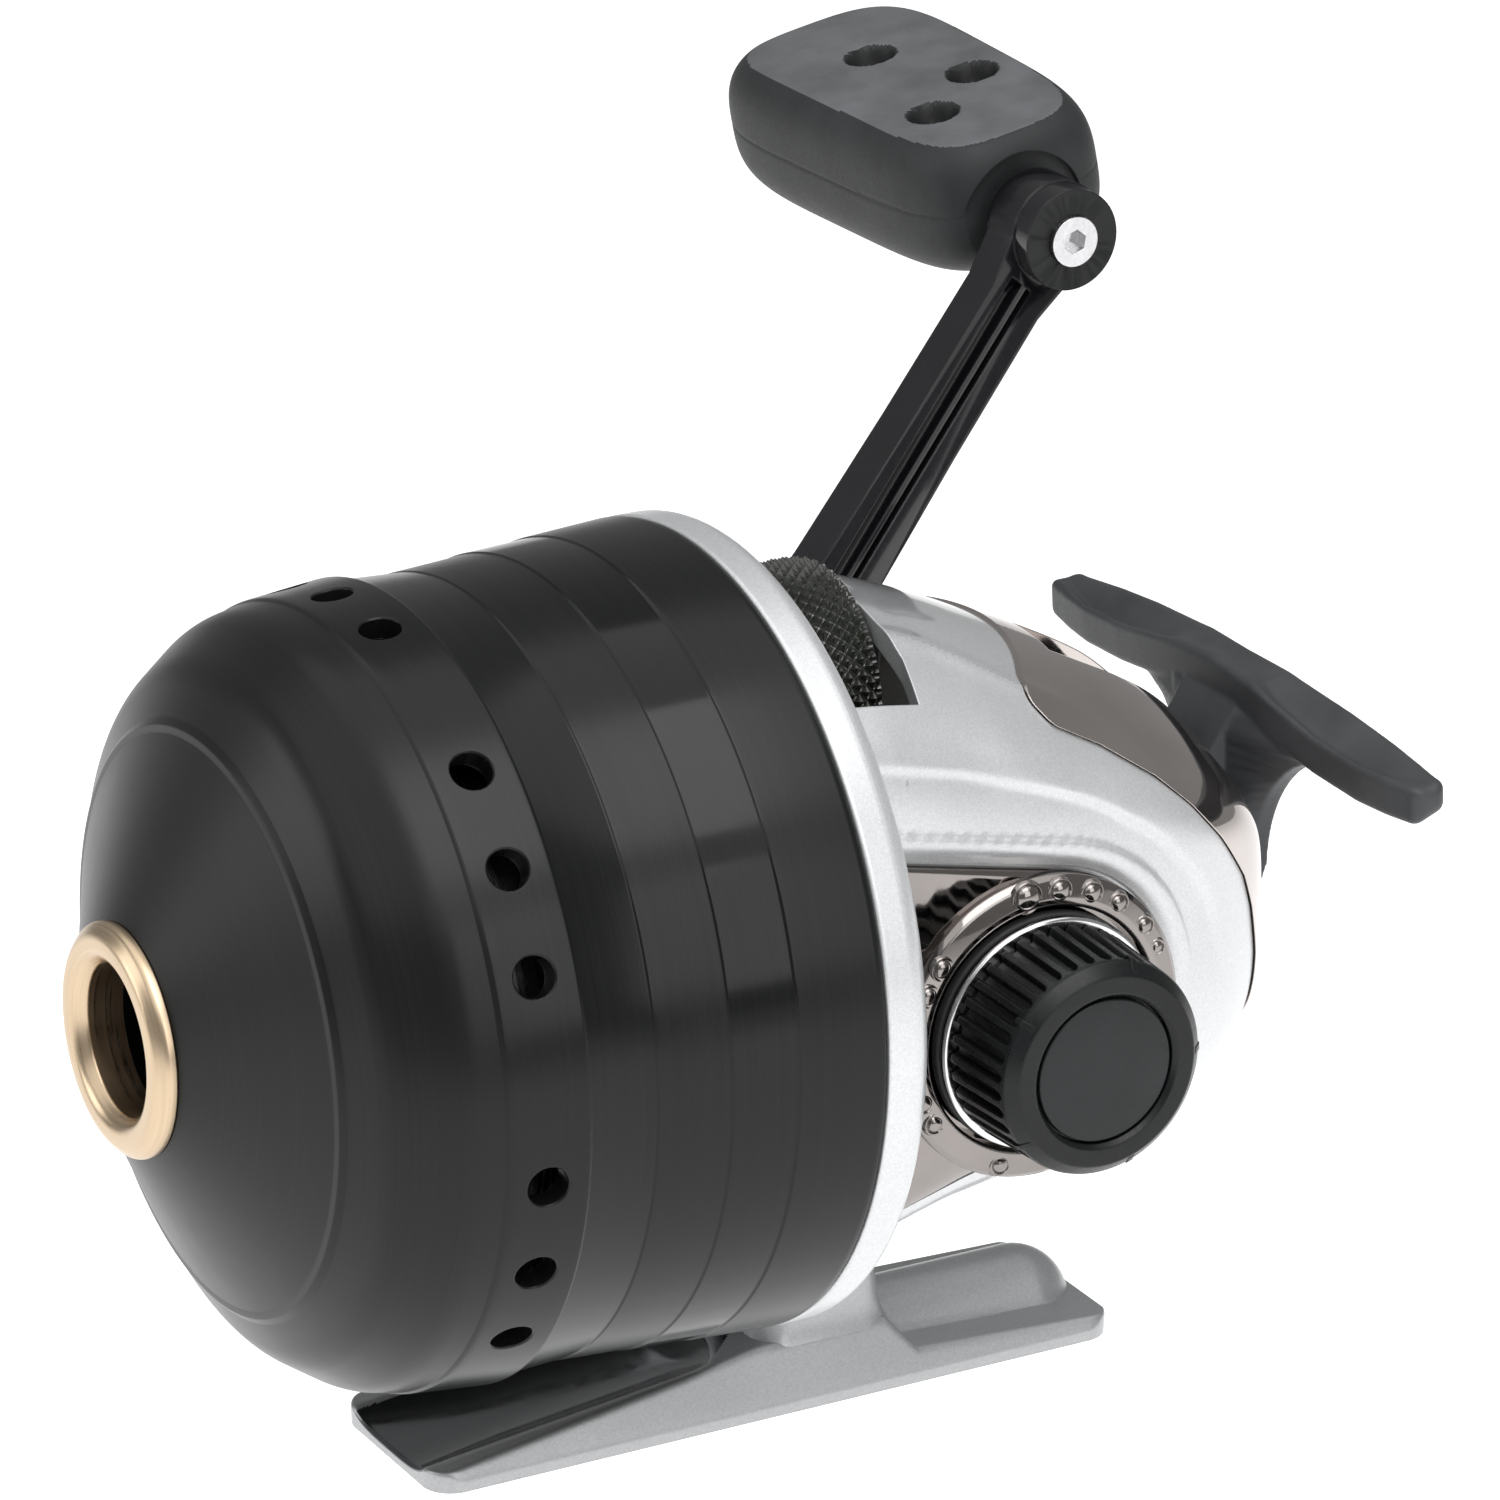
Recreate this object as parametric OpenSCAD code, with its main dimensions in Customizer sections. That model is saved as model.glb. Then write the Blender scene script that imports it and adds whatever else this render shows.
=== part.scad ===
// Spincast fishing reel, as an assembly of separate pieces.
// The row's origin is the middle of the foot's underside, +Z up, -Y toward the nose where
// the line leaves, +X toward the dial. Modules are drawn about the spool axis, with y = 0
// at the rear edge of the black cover, and place() moves them onto the foot.

/* [Overall] */
// Height of the spool axis above the underside of the foot
axis_height = 41; // [39:0.5:44]
// Distance of the cover's rear edge in front of the foot's middle
cover_rear = 4.5; // [3:0.5:6]

/* [Cover] */
// Largest radius of the cover, at its rear edge
cover_r = 33; // [32.8:0.1:33.4]
// Wall thickness of the nose of the cover
cover_wall = 1.3; // [1.1:0.1:1.5]
// Radius of the hole that the line leaves by
line_hole_r = 6.1; // [5:0.1:6.5]
// Radius of each drain hole
drain_r = 1.65; // [1.2:0.05:2]

/* [Gears] */
// Teeth on the pinion
pinion_teeth = 10; // [10:1:10]
// Teeth on the drive gear
drive_teeth = 36; // [36:1:36]
// Tooth module of the pinion and drive gear
drive_module = 0.7; // [0.7:0.05:0.7]
// Teeth on the pinion of the thumbwheel
wheel_teeth = 12; // [12:1:12]
// Teeth on the drag ring
ring_teeth = 35; // [35:1:35]
// Tooth module of the thumbwheel's pinion and the drag ring
drag_module = 0.8; // [0.8:0.05:0.8]

/* [Handle] */
// Distance from the crank axis to the paddle's spindle
crank_len = 57; // [52:0.5:60]
// Angle of the handle arm above the rearward direction
crank_angle = 50; // [0:1:90]
// Length of the paddle
paddle_len = 40; // [34:0.5:42]
// Width of the paddle at its outer end
paddle_w = 22.2; // [19:0.1:23]
// Thickness of the paddle
paddle_t = 15.2; // [12:0.2:16]
// Turn of the paddle about its spindle at rest
paddle_turn = 11; // [0:1:90]

/* [Housing] */
// Half the width of the gear housing across its flat sides
housing_half = 21.6; // [21:0.1:22]
// Wall thickness of the gear housing
housing_wall = 1.8; // [1.4:0.1:2]
// Thickness of the smoked rear trim
trim_t = 1.2; // [1:0.1:1.4]

/* [Dial] */
// Largest radius of the side dial
dial_r = 9.3; // [8.5:0.1:9.5]
// Number of ribs round the side dial
dial_ribs = 36; // [24:1:40]
// Radius of the largest bead of the dial's scale
bead_r = 1.05; // [0.9:0.05:1.1]

/* [Foot] */
// Length of the foot
foot_len = 63; // [60:0.5:66]
// Width of the foot
foot_w = 17.6; // [16:0.2:18.4]

/* [Thumb lever] */
// Half the span of the winged thumb bar
lever_half = 28.5; // [24:0.5:30]

/* [Hidden] */
$fn = 64;
crank_y = 20.2;
crank_z = -5;
wheel_z = drag_module * (wheel_teeth + ring_teeth) / 2;
pinion_r = drive_module * pinion_teeth / 2;
shaft_r = 2;
shaft_bore_r = shaft_r + 0.05;
crank_r = 2.5;
crank_bore_r = crank_r + 0.05;
arbor_r = 6;
spool_bore_r = arbor_r + 0.08;
rotor_front = -33;
pin_y = -24;
lever_pivot = [45.5, -12];
lever_pin_r = 1.2;
dial_post_r = 3;
plate_r = 12.9;
plate_front = 4.7;
bead_turns = [8, -7, -22, -36, -53, -65, 161, 122, 111, 65, 53];

// ---- frames ----

module place() {
    translate([0, -cover_rear, axis_height]) children();
}

// turns shapes drawn about Z so that they lie along the spool axis, height becoming y
module along_y(y = 0) {
    translate([0, y, 0]) rotate([-90, 0, 0]) children();
}

// turns shapes drawn about Z so that they lie along X at the crank axis, height becoming x
module along_crank(x = 0) {
    translate([x, crank_y, crank_z]) rotate([0, 90, 0]) children();
}

// extrudes an outline drawn in (y, z) across the width, from x0 to x1
module across(x0, x1) {
    translate([x0, 0, 0]) rotate([90, 0, 90]) linear_extrude(height = x1 - x0) children();
}

module rod_y(r, y0, y1) {
    along_y(y0) cylinder(r = r, h = y1 - y0);
}

module tube_y(r_out, r_in, y0, y1) {
    difference() {
        rod_y(r_out, y0, y1);
        rod_y(r_in, y0 - 1, y1 + 1);
    }
}

module rod_x(r, x0, x1) {
    along_crank(x0) cylinder(r = r, h = x1 - x0);
}

module tube_x(r_out, r_in, x0, x1) {
    difference() {
        rod_x(r_out, x0, x1);
        rod_x(r_in, x0 - 1, x1 + 1);
    }
}

// ---- shared outlines ----

function arc(c, r, a0, a1, n) = [for (i = [0 : n]) c + r * [cos(a0 + (a1 - a0) * i / n), sin(a0 + (a1 - a0) * i / n)]];

// corners of a straight-flanked approximation of an involute spur gear
function spur(z, m, clear, thin) = [
    for (k = [0 : z - 1])
        for (p = [
            [z * m / 2 - m - clear, -0.62],
            [z * m / 2 - 0.25 * m, -0.54 + thin],
            [z * m / 2 + 0.45 * m, -0.36 + thin],
            [z * m / 2 + m, -0.20 + thin],
            [z * m / 2 + m, 0.20 - thin],
            [z * m / 2 + 0.45 * m, 0.36 - thin],
            [z * m / 2 - 0.25 * m, 0.54 - thin],
            [z * m / 2 - m - clear, 0.62]
        ])
            let (a = 360 * (k + p[1] / 2) / z)
                p[0] * [cos(a), sin(a)]
];

// a wire of radius w wound as a spring of radius r about Z from z = 0 to len
module coil_spring(r, w, turns, len) {
    rings = 14 * turns;
    sides = 6;
    pts = [
        for (i = [0 : rings])
            for (j = [0 : sides - 1])
                let (
                    a = 360 * turns * i / rings,
                    b = 360 * j / sides,
                    rr = r + w * cos(b)
                )
                    [rr * cos(a), rr * sin(a), w + (len - 2 * w) * i / rings + w * sin(b)]
    ];
    walls = [
        for (i = [0 : rings - 1])
            for (j = [0 : sides - 1])
                let (k = (j + 1) % sides)
                    [i * sides + j, (i + 1) * sides + j, (i + 1) * sides + k, i * sides + k]
    ];
    start = [for (j = [0 : sides - 1]) j];
    end = [for (j = [0 : sides - 1]) rings * sides + sides - 1 - j];
    polyhedron(points = pts, faces = concat(walls, [start], [end]), convexity = 8);
}

// ---- cover group ----

cover_outer = [
    [9.4, -48.8], [23.9, -41.7], [27.2, -39.6], [29.6, -36.7], [31, -33.6], [31.5, -31.9],
    [32.3, -25.3], [31.8, -25], [31.5, -22], [31.5, -19.2], [32.1, -13],
    [cover_r - 0.4, -7.4], [cover_r, 0]
];
cover_inner = [
    [31.6, 0], [31.6, -6.6], [30.3, -7.2], [30.2, -31.5],
    [31 - cover_wall, -33.2], [29.7 - cover_wall, -35.9], [26.4, -38.3],
    [23.3, -40.3], [8, -48.8 + cover_wall]
];

module front_cover() {
    place() color([0.06, 0.06, 0.07]) difference() {
        along_y() rotate_extrude() polygon(concat([[8, -48.8]], cover_outer, cover_inner));
        for (group = [0 : 5])
            for (k = [-1 : 1])
                rotate([0, -7 + 60 * group + 15 * k, 0])
                    translate([0, -28.6, 26]) cylinder(r = drain_r, h = 10);
    }
}

module line_guide_ring() {
    place() color([0.72, 0.55, 0.32]) along_y() rotate_extrude() polygon(concat(
        [[line_hole_r, -46.2], [line_hole_r, -49.4]],
        arc([line_hole_r + 1.1, -49.5], 1.1, 180, 270, 6),
        arc([8, -49.2], 1.4, 270, 360, 6),
        [[9.4, -48.8], [8, -48.8], [8, -46.2]]
    ));
}

module pinch_ring() {
    place() color([0.15, 0.15, 0.16]) along_y() rotate_extrude()
        polygon([[20.6, -41.5], [23.2, -40.2], [24.4, -39.45], [24.4, -37.6], [24, -37.2], [21, -37.2], [20.6, -37.6]]);
}

// ---- deck, spool and drag ----

screw_spots = [[19.6, 17], [-19.6, 17], [13.4, -22.6], [-13.4, -22.6]];

module body_deck() {
    place() color([0.78, 0.78, 0.79]) difference() {
        union() {
            rod_y(29.6, 0, 2.5);
            along_y() rotate_extrude() polygon(concat(
                [[29.5, -6], [31.1, -6], [31.1, -4.6], [30.5, -4.6], [30.5, -3.2], [31.5, -3.2], [31.5, 0.2]],
                arc([cover_r - 0.3, 0.5], 0.3, -90, 0, 3),
                arc([cover_r - 1.9, 2.4], 1.9, 0, 90, 9),
                [[29.5, 4.3]]
            ));
            rod_y(8.4, -3, 0.1);
            rod_y(8, 2.4, 5.5);
            translate([0, 0, wheel_z]) rod_y(3.6, 2.4, 4.6);
        }
        rod_y(arbor_r, -4, 1.5);
        rod_y(6.5, 1.5, 6);
        translate([0, 0, wheel_z]) rod_y(1.55, -1, 6);
        for (p = screw_spots)
            translate([p[0], 0, p[1]]) {
                rod_y(1.3, -1, 3);
                rod_y(2.3, -1, 1.3);
            }
        for (s = [-1, 1])
            translate([9.9, 0, 2.4 * s]) {
                rod_y(0.8, -1, 3);
                rod_y(1.4, -1, 1.2);
            }
    }
}

module cover_seal() {
    place() color([0.1, 0.1, 0.1]) along_y(-3.9) rotate_extrude() translate([30.98, 0]) circle(r = 0.45, $fn = 24);
}

module spool_arbor() {
    place() color([0.8, 0.8, 0.82]) tube_y(arbor_r, 3.4, -18.3, 1.4);
}

module spool_retainer() {
    place() color([0.55, 0.55, 0.57]) tube_y(7.4, arbor_r, -17.6, -16.8);
}

module spool() {
    place() color([0.72, 0.73, 0.75]) difference() {
        along_y() rotate_extrude() polygon([
            [6.08, -16.6], [23.4, -16.6], [24, -16], [24, -15.5], [10, -15.1], [10, -6],
            [24, -5.7], [24, -4.9], [23.6, -4.5], [6.08, -4.5]
        ]);
        rod_y(spool_bore_r, -20, 0);
        for (a = [0 : 60 : 300])
            rotate([0, a, 0]) translate([0, 0, 14.5]) rod_y(2.2, -5.9, -4);
    }
}

module line_winding() {
    place() color([0.85, 0.87, 0.86]) along_y() rotate_extrude() polygon([
        [10.1, -14.8], [20.2, -14.9], [20.6, -12.9], [20.2, -10.6], [20.6, -8.3], [20.1, -6.1],
        [10.1, -6.2]
    ]);
}

module drag_washers() {
    place() {
        color([0.32, 0.26, 0.2]) tube_y(13.2, 8.6, -4.4, -3.75);
        color([0.7, 0.7, 0.7]) tube_y(12.6, 8.6, -3.65, -3.05);
    }
}

module drag_ring_gear() {
    place() color([0.7, 0.66, 0.5]) difference() {
        along_y(-2.9) rotate(-90) linear_extrude(height = 2.3)
            polygon(spur(ring_teeth, drag_module, 0.12, 0.04));
        rod_y(8.5, -5, 0);
        for (a = [20 : 40 : 340])
            rotate([0, a, 0]) translate([0, 0, 11]) rod_y(0.7, -3.5, -1.6);
    }
}

module drag_thumbwheel() {
    place() translate([0, 0, wheel_z]) color([0.09, 0.09, 0.09]) difference() {
        along_y() rotate_extrude() polygon(concat(
            [[1.5, 5.1], [7, 5.1], [9.9, 5.6], [10.7, 6.6], [10.7, 8.8], [10.3, 11]],
            arc([8.4, 11.5], 1.8, 10, 90, 5),
            [[1.5, 13.3]]
        ));
        for (a = [0 : 15 : 345])
            rotate([0, a, 0]) translate([0, 3, 11.3]) rotate([-90, 0, 0]) cylinder(r = 0.8, h = 8.6);
    }
}

module thumbwheel_shaft() {
    place() translate([0, 0, wheel_z]) color([0.7, 0.7, 0.72]) union() {
        rod_y(1.5, -3, 15.8);
        along_y(-2.8) rotate(-90) linear_extrude(height = 2.1)
            rotate(180 / wheel_teeth) polygon(spur(wheel_teeth, drag_module, 0.12, 0.04));
    }
}

// ---- rotor and centre shaft ----

module rotor() {
    place() color([0.75, 0.75, 0.77]) difference() {
        union() {
            along_y() rotate_extrude() polygon(concat(
                [[2, rotor_front], [22.4, rotor_front]],
                arc([22.4, rotor_front + 4.1], 4.1, 270, 360, 6),
                [[26.5, -15], [26.2, -14.4], [25.5, -14.4], [25.3, -15], [25.3, -28.6], [22, -31.4],
                 [6, -31.4], [5, -30.6], [5, -20], [2, -20]]
            ));
            for (s = [-1, 1])
                translate([s * 23.4, pin_y, 0]) cube([4.8, 5, 5.6], center = true);
        }
        for (s = [-1, 1])
            translate([0, pin_y, 0]) rotate([0, 90 * s, 0]) cylinder(r = 1.25, h = 40);
        for (a = [45 : 90 : 315])
            rotate([0, a, 0]) translate([0, 0, 14]) rod_y(3.4, -35, -30);
    }
}

module rotor_nut() {
    place() color([0.6, 0.5, 0.3]) difference() {
        along_y(-36.2) cylinder(r = 4.2, h = 3.15, $fn = 6);
        rod_y(shaft_r, -40, -30);
    }
}

module pickup_pin(s) {
    place() translate([0, pin_y, 0]) rotate([0, 90 * s, 0]) color([0.9, 0.9, 0.92]) union() {
        translate([0, 0, 17]) cylinder(r = 1.2, h = 11.2);
        translate([0, 0, 28.2]) sphere(r = 1.2);
        translate([0, 0, 18.6]) cylinder(r = 2, h = 0.9);
    }
}

module pickup_pin_left() {
    pickup_pin(-1);
}

module pickup_pin_right() {
    pickup_pin(1);
}

module pin_spring(s) {
    place() translate([0, pin_y, 0]) rotate([0, 90 * s, 0]) color([0.6, 0.6, 0.62])
        translate([0, 0, 5.3]) coil_spring(1.5, 0.22, 6, 11.5);
}

module pin_spring_left() {
    pin_spring(-1);
}

module pin_spring_right() {
    pin_spring(1);
}

module centre_shaft() {
    place() color([0.72, 0.72, 0.74]) union() {
        rod_y(shaft_r, -37.2, 43.2);
        rod_y(3.3, 41.9, 43.1);
        translate([0, 42.2, 0]) sphere(r = 2.3);
    }
}

module shaft_return_spring() {
    place() color([0.6, 0.6, 0.62]) along_y(36.8) coil_spring(2.75, 0.3, 5, 5);
}

module pinion() {
    place() color([0.75, 0.62, 0.35]) difference() {
        union() {
            rod_y(2.9, -1.6, 15.6);
            rod_y(3.2, -1.6, 5.6);
            along_y(5.8) rotate(180 / pinion_teeth) linear_extrude(height = 3.6)
                polygon(spur(pinion_teeth, drive_module, 0.1, 0.06));
        }
        rod_y(shaft_bore_r, -5, 20);
    }
}

module pinion_bearing() {
    place() {
        color([0.7, 0.7, 0.72]) tube_y(6.5, 5.35, 1.6, 5.2);
        color([0.7, 0.7, 0.72]) tube_y(4.15, 3.26, 1.6, 5.2);
        color([0.85, 0.85, 0.87]) for (a = [0 : 45 : 315])
            rotate([0, a, 0]) translate([4.75, 3.4, 0]) sphere(r = 0.58);
    }
}

module pinion_bracket() {
    place() color([0.62, 0.62, 0.64]) difference() {
        union() {
            rod_y(4.2, 13, 15.2);
            translate([0, 13, -4]) cube([11.7, 2.2, 8]);
            translate([8.2, 2.5, -4]) cube([3.5, 12.7, 8]);
        }
        rod_y(2.96, 10, 20);
        for (s = [-1, 1])
            translate([9.9, 0, 2.4 * s]) rod_y(0.8, 1, 7);
    }
}

module bracket_screws() {
    place() color([0.7, 0.7, 0.7]) for (s = [-1, 1])
        translate([9.9, 0, 2.4 * s]) {
            rod_y(0.8, 1, 6.8);
            rod_y(1.35, 0.15, 1.15);
        }
}

// ---- gear housing ----

dome = [
    [29.4, 2.5], [28.8, 5], [27.7, 10], [26.7, 14.5], [25.6, 22], [24.6, 28], [23.4, 35], [21.9, 41], [18.9, 46.5],
    [15, 50], [10, 52]
];
side_view = [
    [2.5, 31], [6, 29.8], [10, 28.8], [14, 27.3], [17, 25.9], [20.3, 24.4], [24.5, 22.5], [29.2, 20.3],
    [33, 18.4], [37.3, 16.1], [40.5, 14], [43.4, 11.2], [46, 7.5], [48.2, 3], [49.8, -2], [50.7, -7],
    [50.6, -11.5], [49.6, -15.5], [47.6, -19], [44.6, -21.6], [40.5, -23.4], [34, -24.9],
    [27.7, -26], [14.5, -27.8], [2.5, -29.4]
];
plan_view = concat(
    [[housing_half, 2.5], [housing_half, 30], [21, 33.5], [19.8, 37], [17.9, 40.6], [15.2, 44], [11.6, 47.2], [7, 49.6], [2.5, 50.8]],
    [[-2.5, 50.8], [-7, 49.6], [-11.6, 47.2], [-15.2, 44], [-17.9, 40.6], [-19.8, 37], [-21, 33.5], [-housing_half, 30], [-housing_half, 2.5]]
);
side_mid = [24, -1];

// points of a smooth curve through the points of p, n per span
function smooth(p, n) = [
    for (i = [0 : len(p) - 2])
        let (
            a = p[max(i - 1, 0)],
            b = p[i],
            c = p[i + 1],
            d = p[min(i + 2, len(p) - 1)]
        )
            for (k = [0 : n - 1])
                let (t = k / n)
                    (2 * b + (c - a) * t + (2 * a - 5 * b + 4 * c - d) * t * t + (3 * b - a - 3 * c + d) * t * t * t) / 2,
    p[len(p) - 1]
];

function shrink(p, c, d, rx, ry) = [c[0] + (p[0] - c[0]) * (rx - d) / rx, c[1] + (p[1] - c[1]) * (ry - d) / ry];

// the housing's outer form, shrunk by d all round, or grown when d is negative
module housing_form(d = 0) {
    y_front = d > 0.5 ? 2.4 : 2.5;
    intersection() {
        along_y() rotate_extrude() polygon(concat(
            [[0, y_front]],
            [for (p = dome) [p[0] - d, max(y_front, p[1] - (p[1] > 30 ? d : 0))]],
            [[0, 52 - d]]
        ));
        across(-30, 30) polygon([for (p = smooth(side_view, 2)) let (q = shrink(p, side_mid, d, 26, 27)) [p[0] < 3 ? y_front : q[0], q[1]]]);
        linear_extrude(height = 80, center = true)
            polygon([for (p = plan_view) let (q = shrink(p, [0, 24], d, housing_half, 26)) [q[0], p[1] < 3 ? y_front : q[1]]]);
    }
}

// outline of a side plate in (y, z), grown by g
module plate_outline(g = 0) {
    r = plate_r + g;
    rise = 12.4;
    fall = 9.1;
    front = plate_front - g;
    polygon(concat(
        arc([crank_y, crank_z], r, 90 - rise, fall - 90, 30),
        [
            [front, crank_z - (r + (crank_y - front) * sin(fall)) / cos(fall)],
            [front, crank_z + (r + (crank_y - front) * sin(rise)) / cos(rise)]
        ]
    ));
}

trim_edge = [
    [27.4, 30], [27, 21], [26, 18.4], [27.6, 16.6], [31.5, 13.8], [37.2, 9.4], [41.1, 4.8], [43.4, 1],
    [45.6, -4.5], [46.6, -10], [47, -14], [60, -14], [60, 30]
];
trim_half = 12.6;
slot_half = 4.8;
slot_wide = 6.6;

module lever_slot(extra = 0) {
    translate([-slot_half - extra, 31 - extra, -9.5 - extra]) cube([2 * (slot_half + extra), 30, 40]);
    translate([-slot_wide - extra, 41.5 - extra, -9.5 - extra]) cube([2 * (slot_wide + extra), 20, 17.5 + extra]);
}

module gear_housing() {
    place() color([0.8, 0.8, 0.81]) difference() {
        union() {
            difference() {
                housing_form(0);
                housing_form(housing_wall);
            }
            intersection() {
                housing_form(0);
                union() {
                    for (p = screw_spots)
                        translate([p[0], 0, p[1]]) rod_y(2.4, 2.5, 10);
                    translate([-3.2, 13.9, 15.8]) cube([6.4, 2.6, 14]);
                    translate([-20.6, 35.3, -5]) cube([41.2, 1.4, 10]);
                    translate([-3.4, 5.2, -30]) cube([6.8, 10.4, 9]);
                    for (s = [-1, 1])
                        translate([s > 0 ? 6.9 : -9.3, 42.6, -15]) cube([2.4, 12, 6]);
                }
            }
        }
        // slot for the thumbwheel, cut by two radial faces
        intersection() {
            along_y() rotate_extrude() polygon([[14, 2], [40, 2], [40, 13.7], [14, 13.7]]);
            across(-40, 40) polygon([[2, 8], [13.7, 8], [13.7, 40], [2, 40]]);
            translate([0, 14, 0]) rotate([90, 0, 0]) linear_extrude(height = 12)
                polygon([[0, 0], [-40 * tan(36.5), 40], [40 * tan(36.5), 40]]);
        }
        // seat of the rear trim, and the slot below it
        intersection() {
            across(-trim_half - 0.1, trim_half + 0.1) polygon(trim_edge);
            difference() {
                housing_form(-2);
                housing_form(trim_t - 0.25);
            }
        }
        lever_slot();
        // side openings with a ledge that the side plates rest on
        for (s = [-1, 1]) {
            across(s > 0 ? 15 : -25, s > 0 ? 25 : -15) plate_outline(-1.6);
            across(s > 0 ? 20.4 : -25, s > 0 ? 25 : -20.4) plate_outline(0.12);
        }
        rod_y(shaft_bore_r + 0.05, 34, 38);
        translate([0, 0, wheel_z]) rod_y(1.55, 13, 16);
        for (p = screw_spots)
            translate([p[0], 0, p[1]]) rod_y(1.1, 2, 9);
        for (y = [7.6, 13])
            translate([0, y, -40]) cylinder(r = 1.2, h = 18.4);
        translate([-20, lever_pivot[0], lever_pivot[1]]) rotate([0, 90, 0]) cylinder(r = lever_pin_r, h = 40);
    }
}

module housing_screws() {
    place() color([0.7, 0.7, 0.7]) for (p = screw_spots)
        translate([p[0], 0, p[1]]) {
            rod_y(1.1, 1.2, 8.8);
            rod_y(2.2, 0, 1.25);
        }
}

module rear_trim() {
    place() color([0.45, 0.4, 0.38]) difference() {
        intersection() {
            across(-trim_half, trim_half) polygon([for (p = trim_edge) [p[0] + 0.12, p[1] + (p[1] < 0 ? 0.15 : 0)]]);
            difference() {
                housing_form(-0.25);
                housing_form(trim_t - 0.25);
            }
        }
        lever_slot();
    }
}

// ---- side plates ----

module plate_body(s) {
    x_out = 21.9;
    intersection() {
        across(s > 0 ? 20.4 : -x_out, s > 0 ? x_out : -20.4) plate_outline(0);
        housing_form(-0.35);
    }
    intersection() {
        across(s > 0 ? 18.6 : -20.5, s > 0 ? 20.5 : -18.6) plate_outline(-1.75);
        housing_form(0);
    }
    along_crank() rotate_extrude() polygon([
        [10.3, s * 21.8], [12.8, s * 21.8], [12.6, s * 22.3], [11.8, s * 22.6], [10.9, s * 22.6], [10.3, s * 22.3]
    ]);
}

module side_plate_left() {
    place() color([0.45, 0.4, 0.38]) difference() {
        union() {
            plate_body(-1);
            rod_x(8.6, -18.7, -9);
        }
        rod_x(7, -15.6, -8);
        rod_x(4.5, -19.6, -15);
        rod_x(3.4, -30, -15);
    }
}

module side_plate_right() {
    place() color([0.45, 0.4, 0.38]) union() {
        difference() {
            union() {
                plate_body(1);
                rod_x(6.2, 13.6, 18.7);
            }
            rod_x(4.5, 12, 17.2);
            rod_x(dial_post_r, 17, 30);
        }
        for (i = [0 : len(bead_turns) - 1])
            along_crank(22.5) rotate(180 + bead_turns[i]) translate([11.5, 0, 0])
                cylinder(r = max(0.5, bead_r - 0.1 * i), h = 0.55);
    }
}

// ---- crank and gear ----

module face_tooth() {
    tip = 0.21;
    root = 0.78;
    rotate([90, 0, 0]) linear_extrude(height = 6, center = true)
        polygon([[-root, -0.2], [root, -0.2], [tip, 1.45], [-tip, 1.45]]);
}

module drive_gear() {
    mid = drive_teeth * drive_module / 2;
    place() color([0.74, 0.6, 0.33]) difference() {
        union() {
            rod_x(14.4, -7.4, -4.4);
            rod_x(5, -8.6, -4.4);
            intersection() {
                union() {
                    for (k = [0 : drive_teeth - 1])
                        translate([0, crank_y, crank_z]) rotate([360 * k / drive_teeth, 0, 0])
                            translate([-4.4, -mid, -crank_z]) rotate([0, 90, 0]) face_tooth();
                }
                tube_x(14.4, 12.1, -4.4, -2.9);
            }
        }
        rod_x(crank_r, -20, 20);
        for (a = [30 : 60 : 330])
            along_crank(-10) rotate(a) translate([8.4, 0, 0]) cylinder(r = 1.9, h = 8);
    }
}

module crank_shaft() {
    place() color([0.7, 0.7, 0.72]) rod_x(crank_r, -35.2, 17);
}

module left_bushing() {
    place() color([0.72, 0.56, 0.3]) tube_x(4.5, crank_bore_r, -19.5, -15.7);
}

module right_bushing() {
    place() color([0.72, 0.56, 0.3]) tube_x(4.5, crank_bore_r, 13.6, 17.1);
}

module anti_reverse_clutch() {
    place() {
        color([0.6, 0.6, 0.62]) tube_x(7, 4.6, -15.5, -9);
        color([0.85, 0.85, 0.87]) for (a = [0 : 45 : 315])
            along_crank(-15) rotate(a) translate([3.58, 0, 0]) cylinder(r = 0.98, h = 5.5);
    }
}

module crank_collar() {
    place() color([0.08, 0.08, 0.09]) tube_x(6.4, crank_r, -27, -22.1);
}

// moves shapes drawn with the crank axis at the origin and the arm along +Y into place
module on_crank() {
    translate([0, crank_y, crank_z]) rotate([crank_angle, 0, 0]) children();
}

module handle_arm() {
    place() color([0.05, 0.05, 0.06]) on_crank() difference() {
        union() {
            intersection() {
                linear_extrude(height = 20, center = true) polygon([
                    [-27.1, -7], [-27.1, 6], [-28, 8.6], [-33.6, 15.6], [-38, crank_len + 5],
                    [-42, crank_len + 5], [-37.6, 14.6], [-32, 6.5], [-32, -7]
                ]);
                rotate([0, -90, 0]) translate([0, 0, 20]) linear_extrude(height = 30) union() {
                    circle(r = 6.4);
                    polygon([[-4.6, 0], [4.6, 0], [3.2, 22], [2.6, crank_len - 4], [-2.6, crank_len - 4], [-3.2, 22]]);
                    translate([0, crank_len]) circle(r = 4.6);
                }
            }
            translate([-42, crank_len, 0]) rotate([0, 90, 0]) cylinder(r = 4.3, h = 6.8);
        }
        translate([0, 0, -0.3]) linear_extrude(height = 2.6) polygon([
            [-32, 15.5], [-34.9, 16.5], [-38.3, crank_len - 8.5], [-32, crank_len - 7]
        ]);
        rotate([0, 90, 0]) translate([0, 0, -40]) cylinder(r = crank_r, h = 20);
        translate([-45, crank_len, 0]) rotate([0, 90, 0]) cylinder(r = 2.2, h = 20);
    }
}

module handle_nut() {
    place() color([0.6, 0.6, 0.62]) difference() {
        union() {
            along_crank(-35.4) cylinder(r = 4.6, h = 3.3, $fn = 6);
            along_crank(-35.4) sphere(r = 3.4);
        }
        rod_x(crank_r, -35.3, -30);
    }
}

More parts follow.
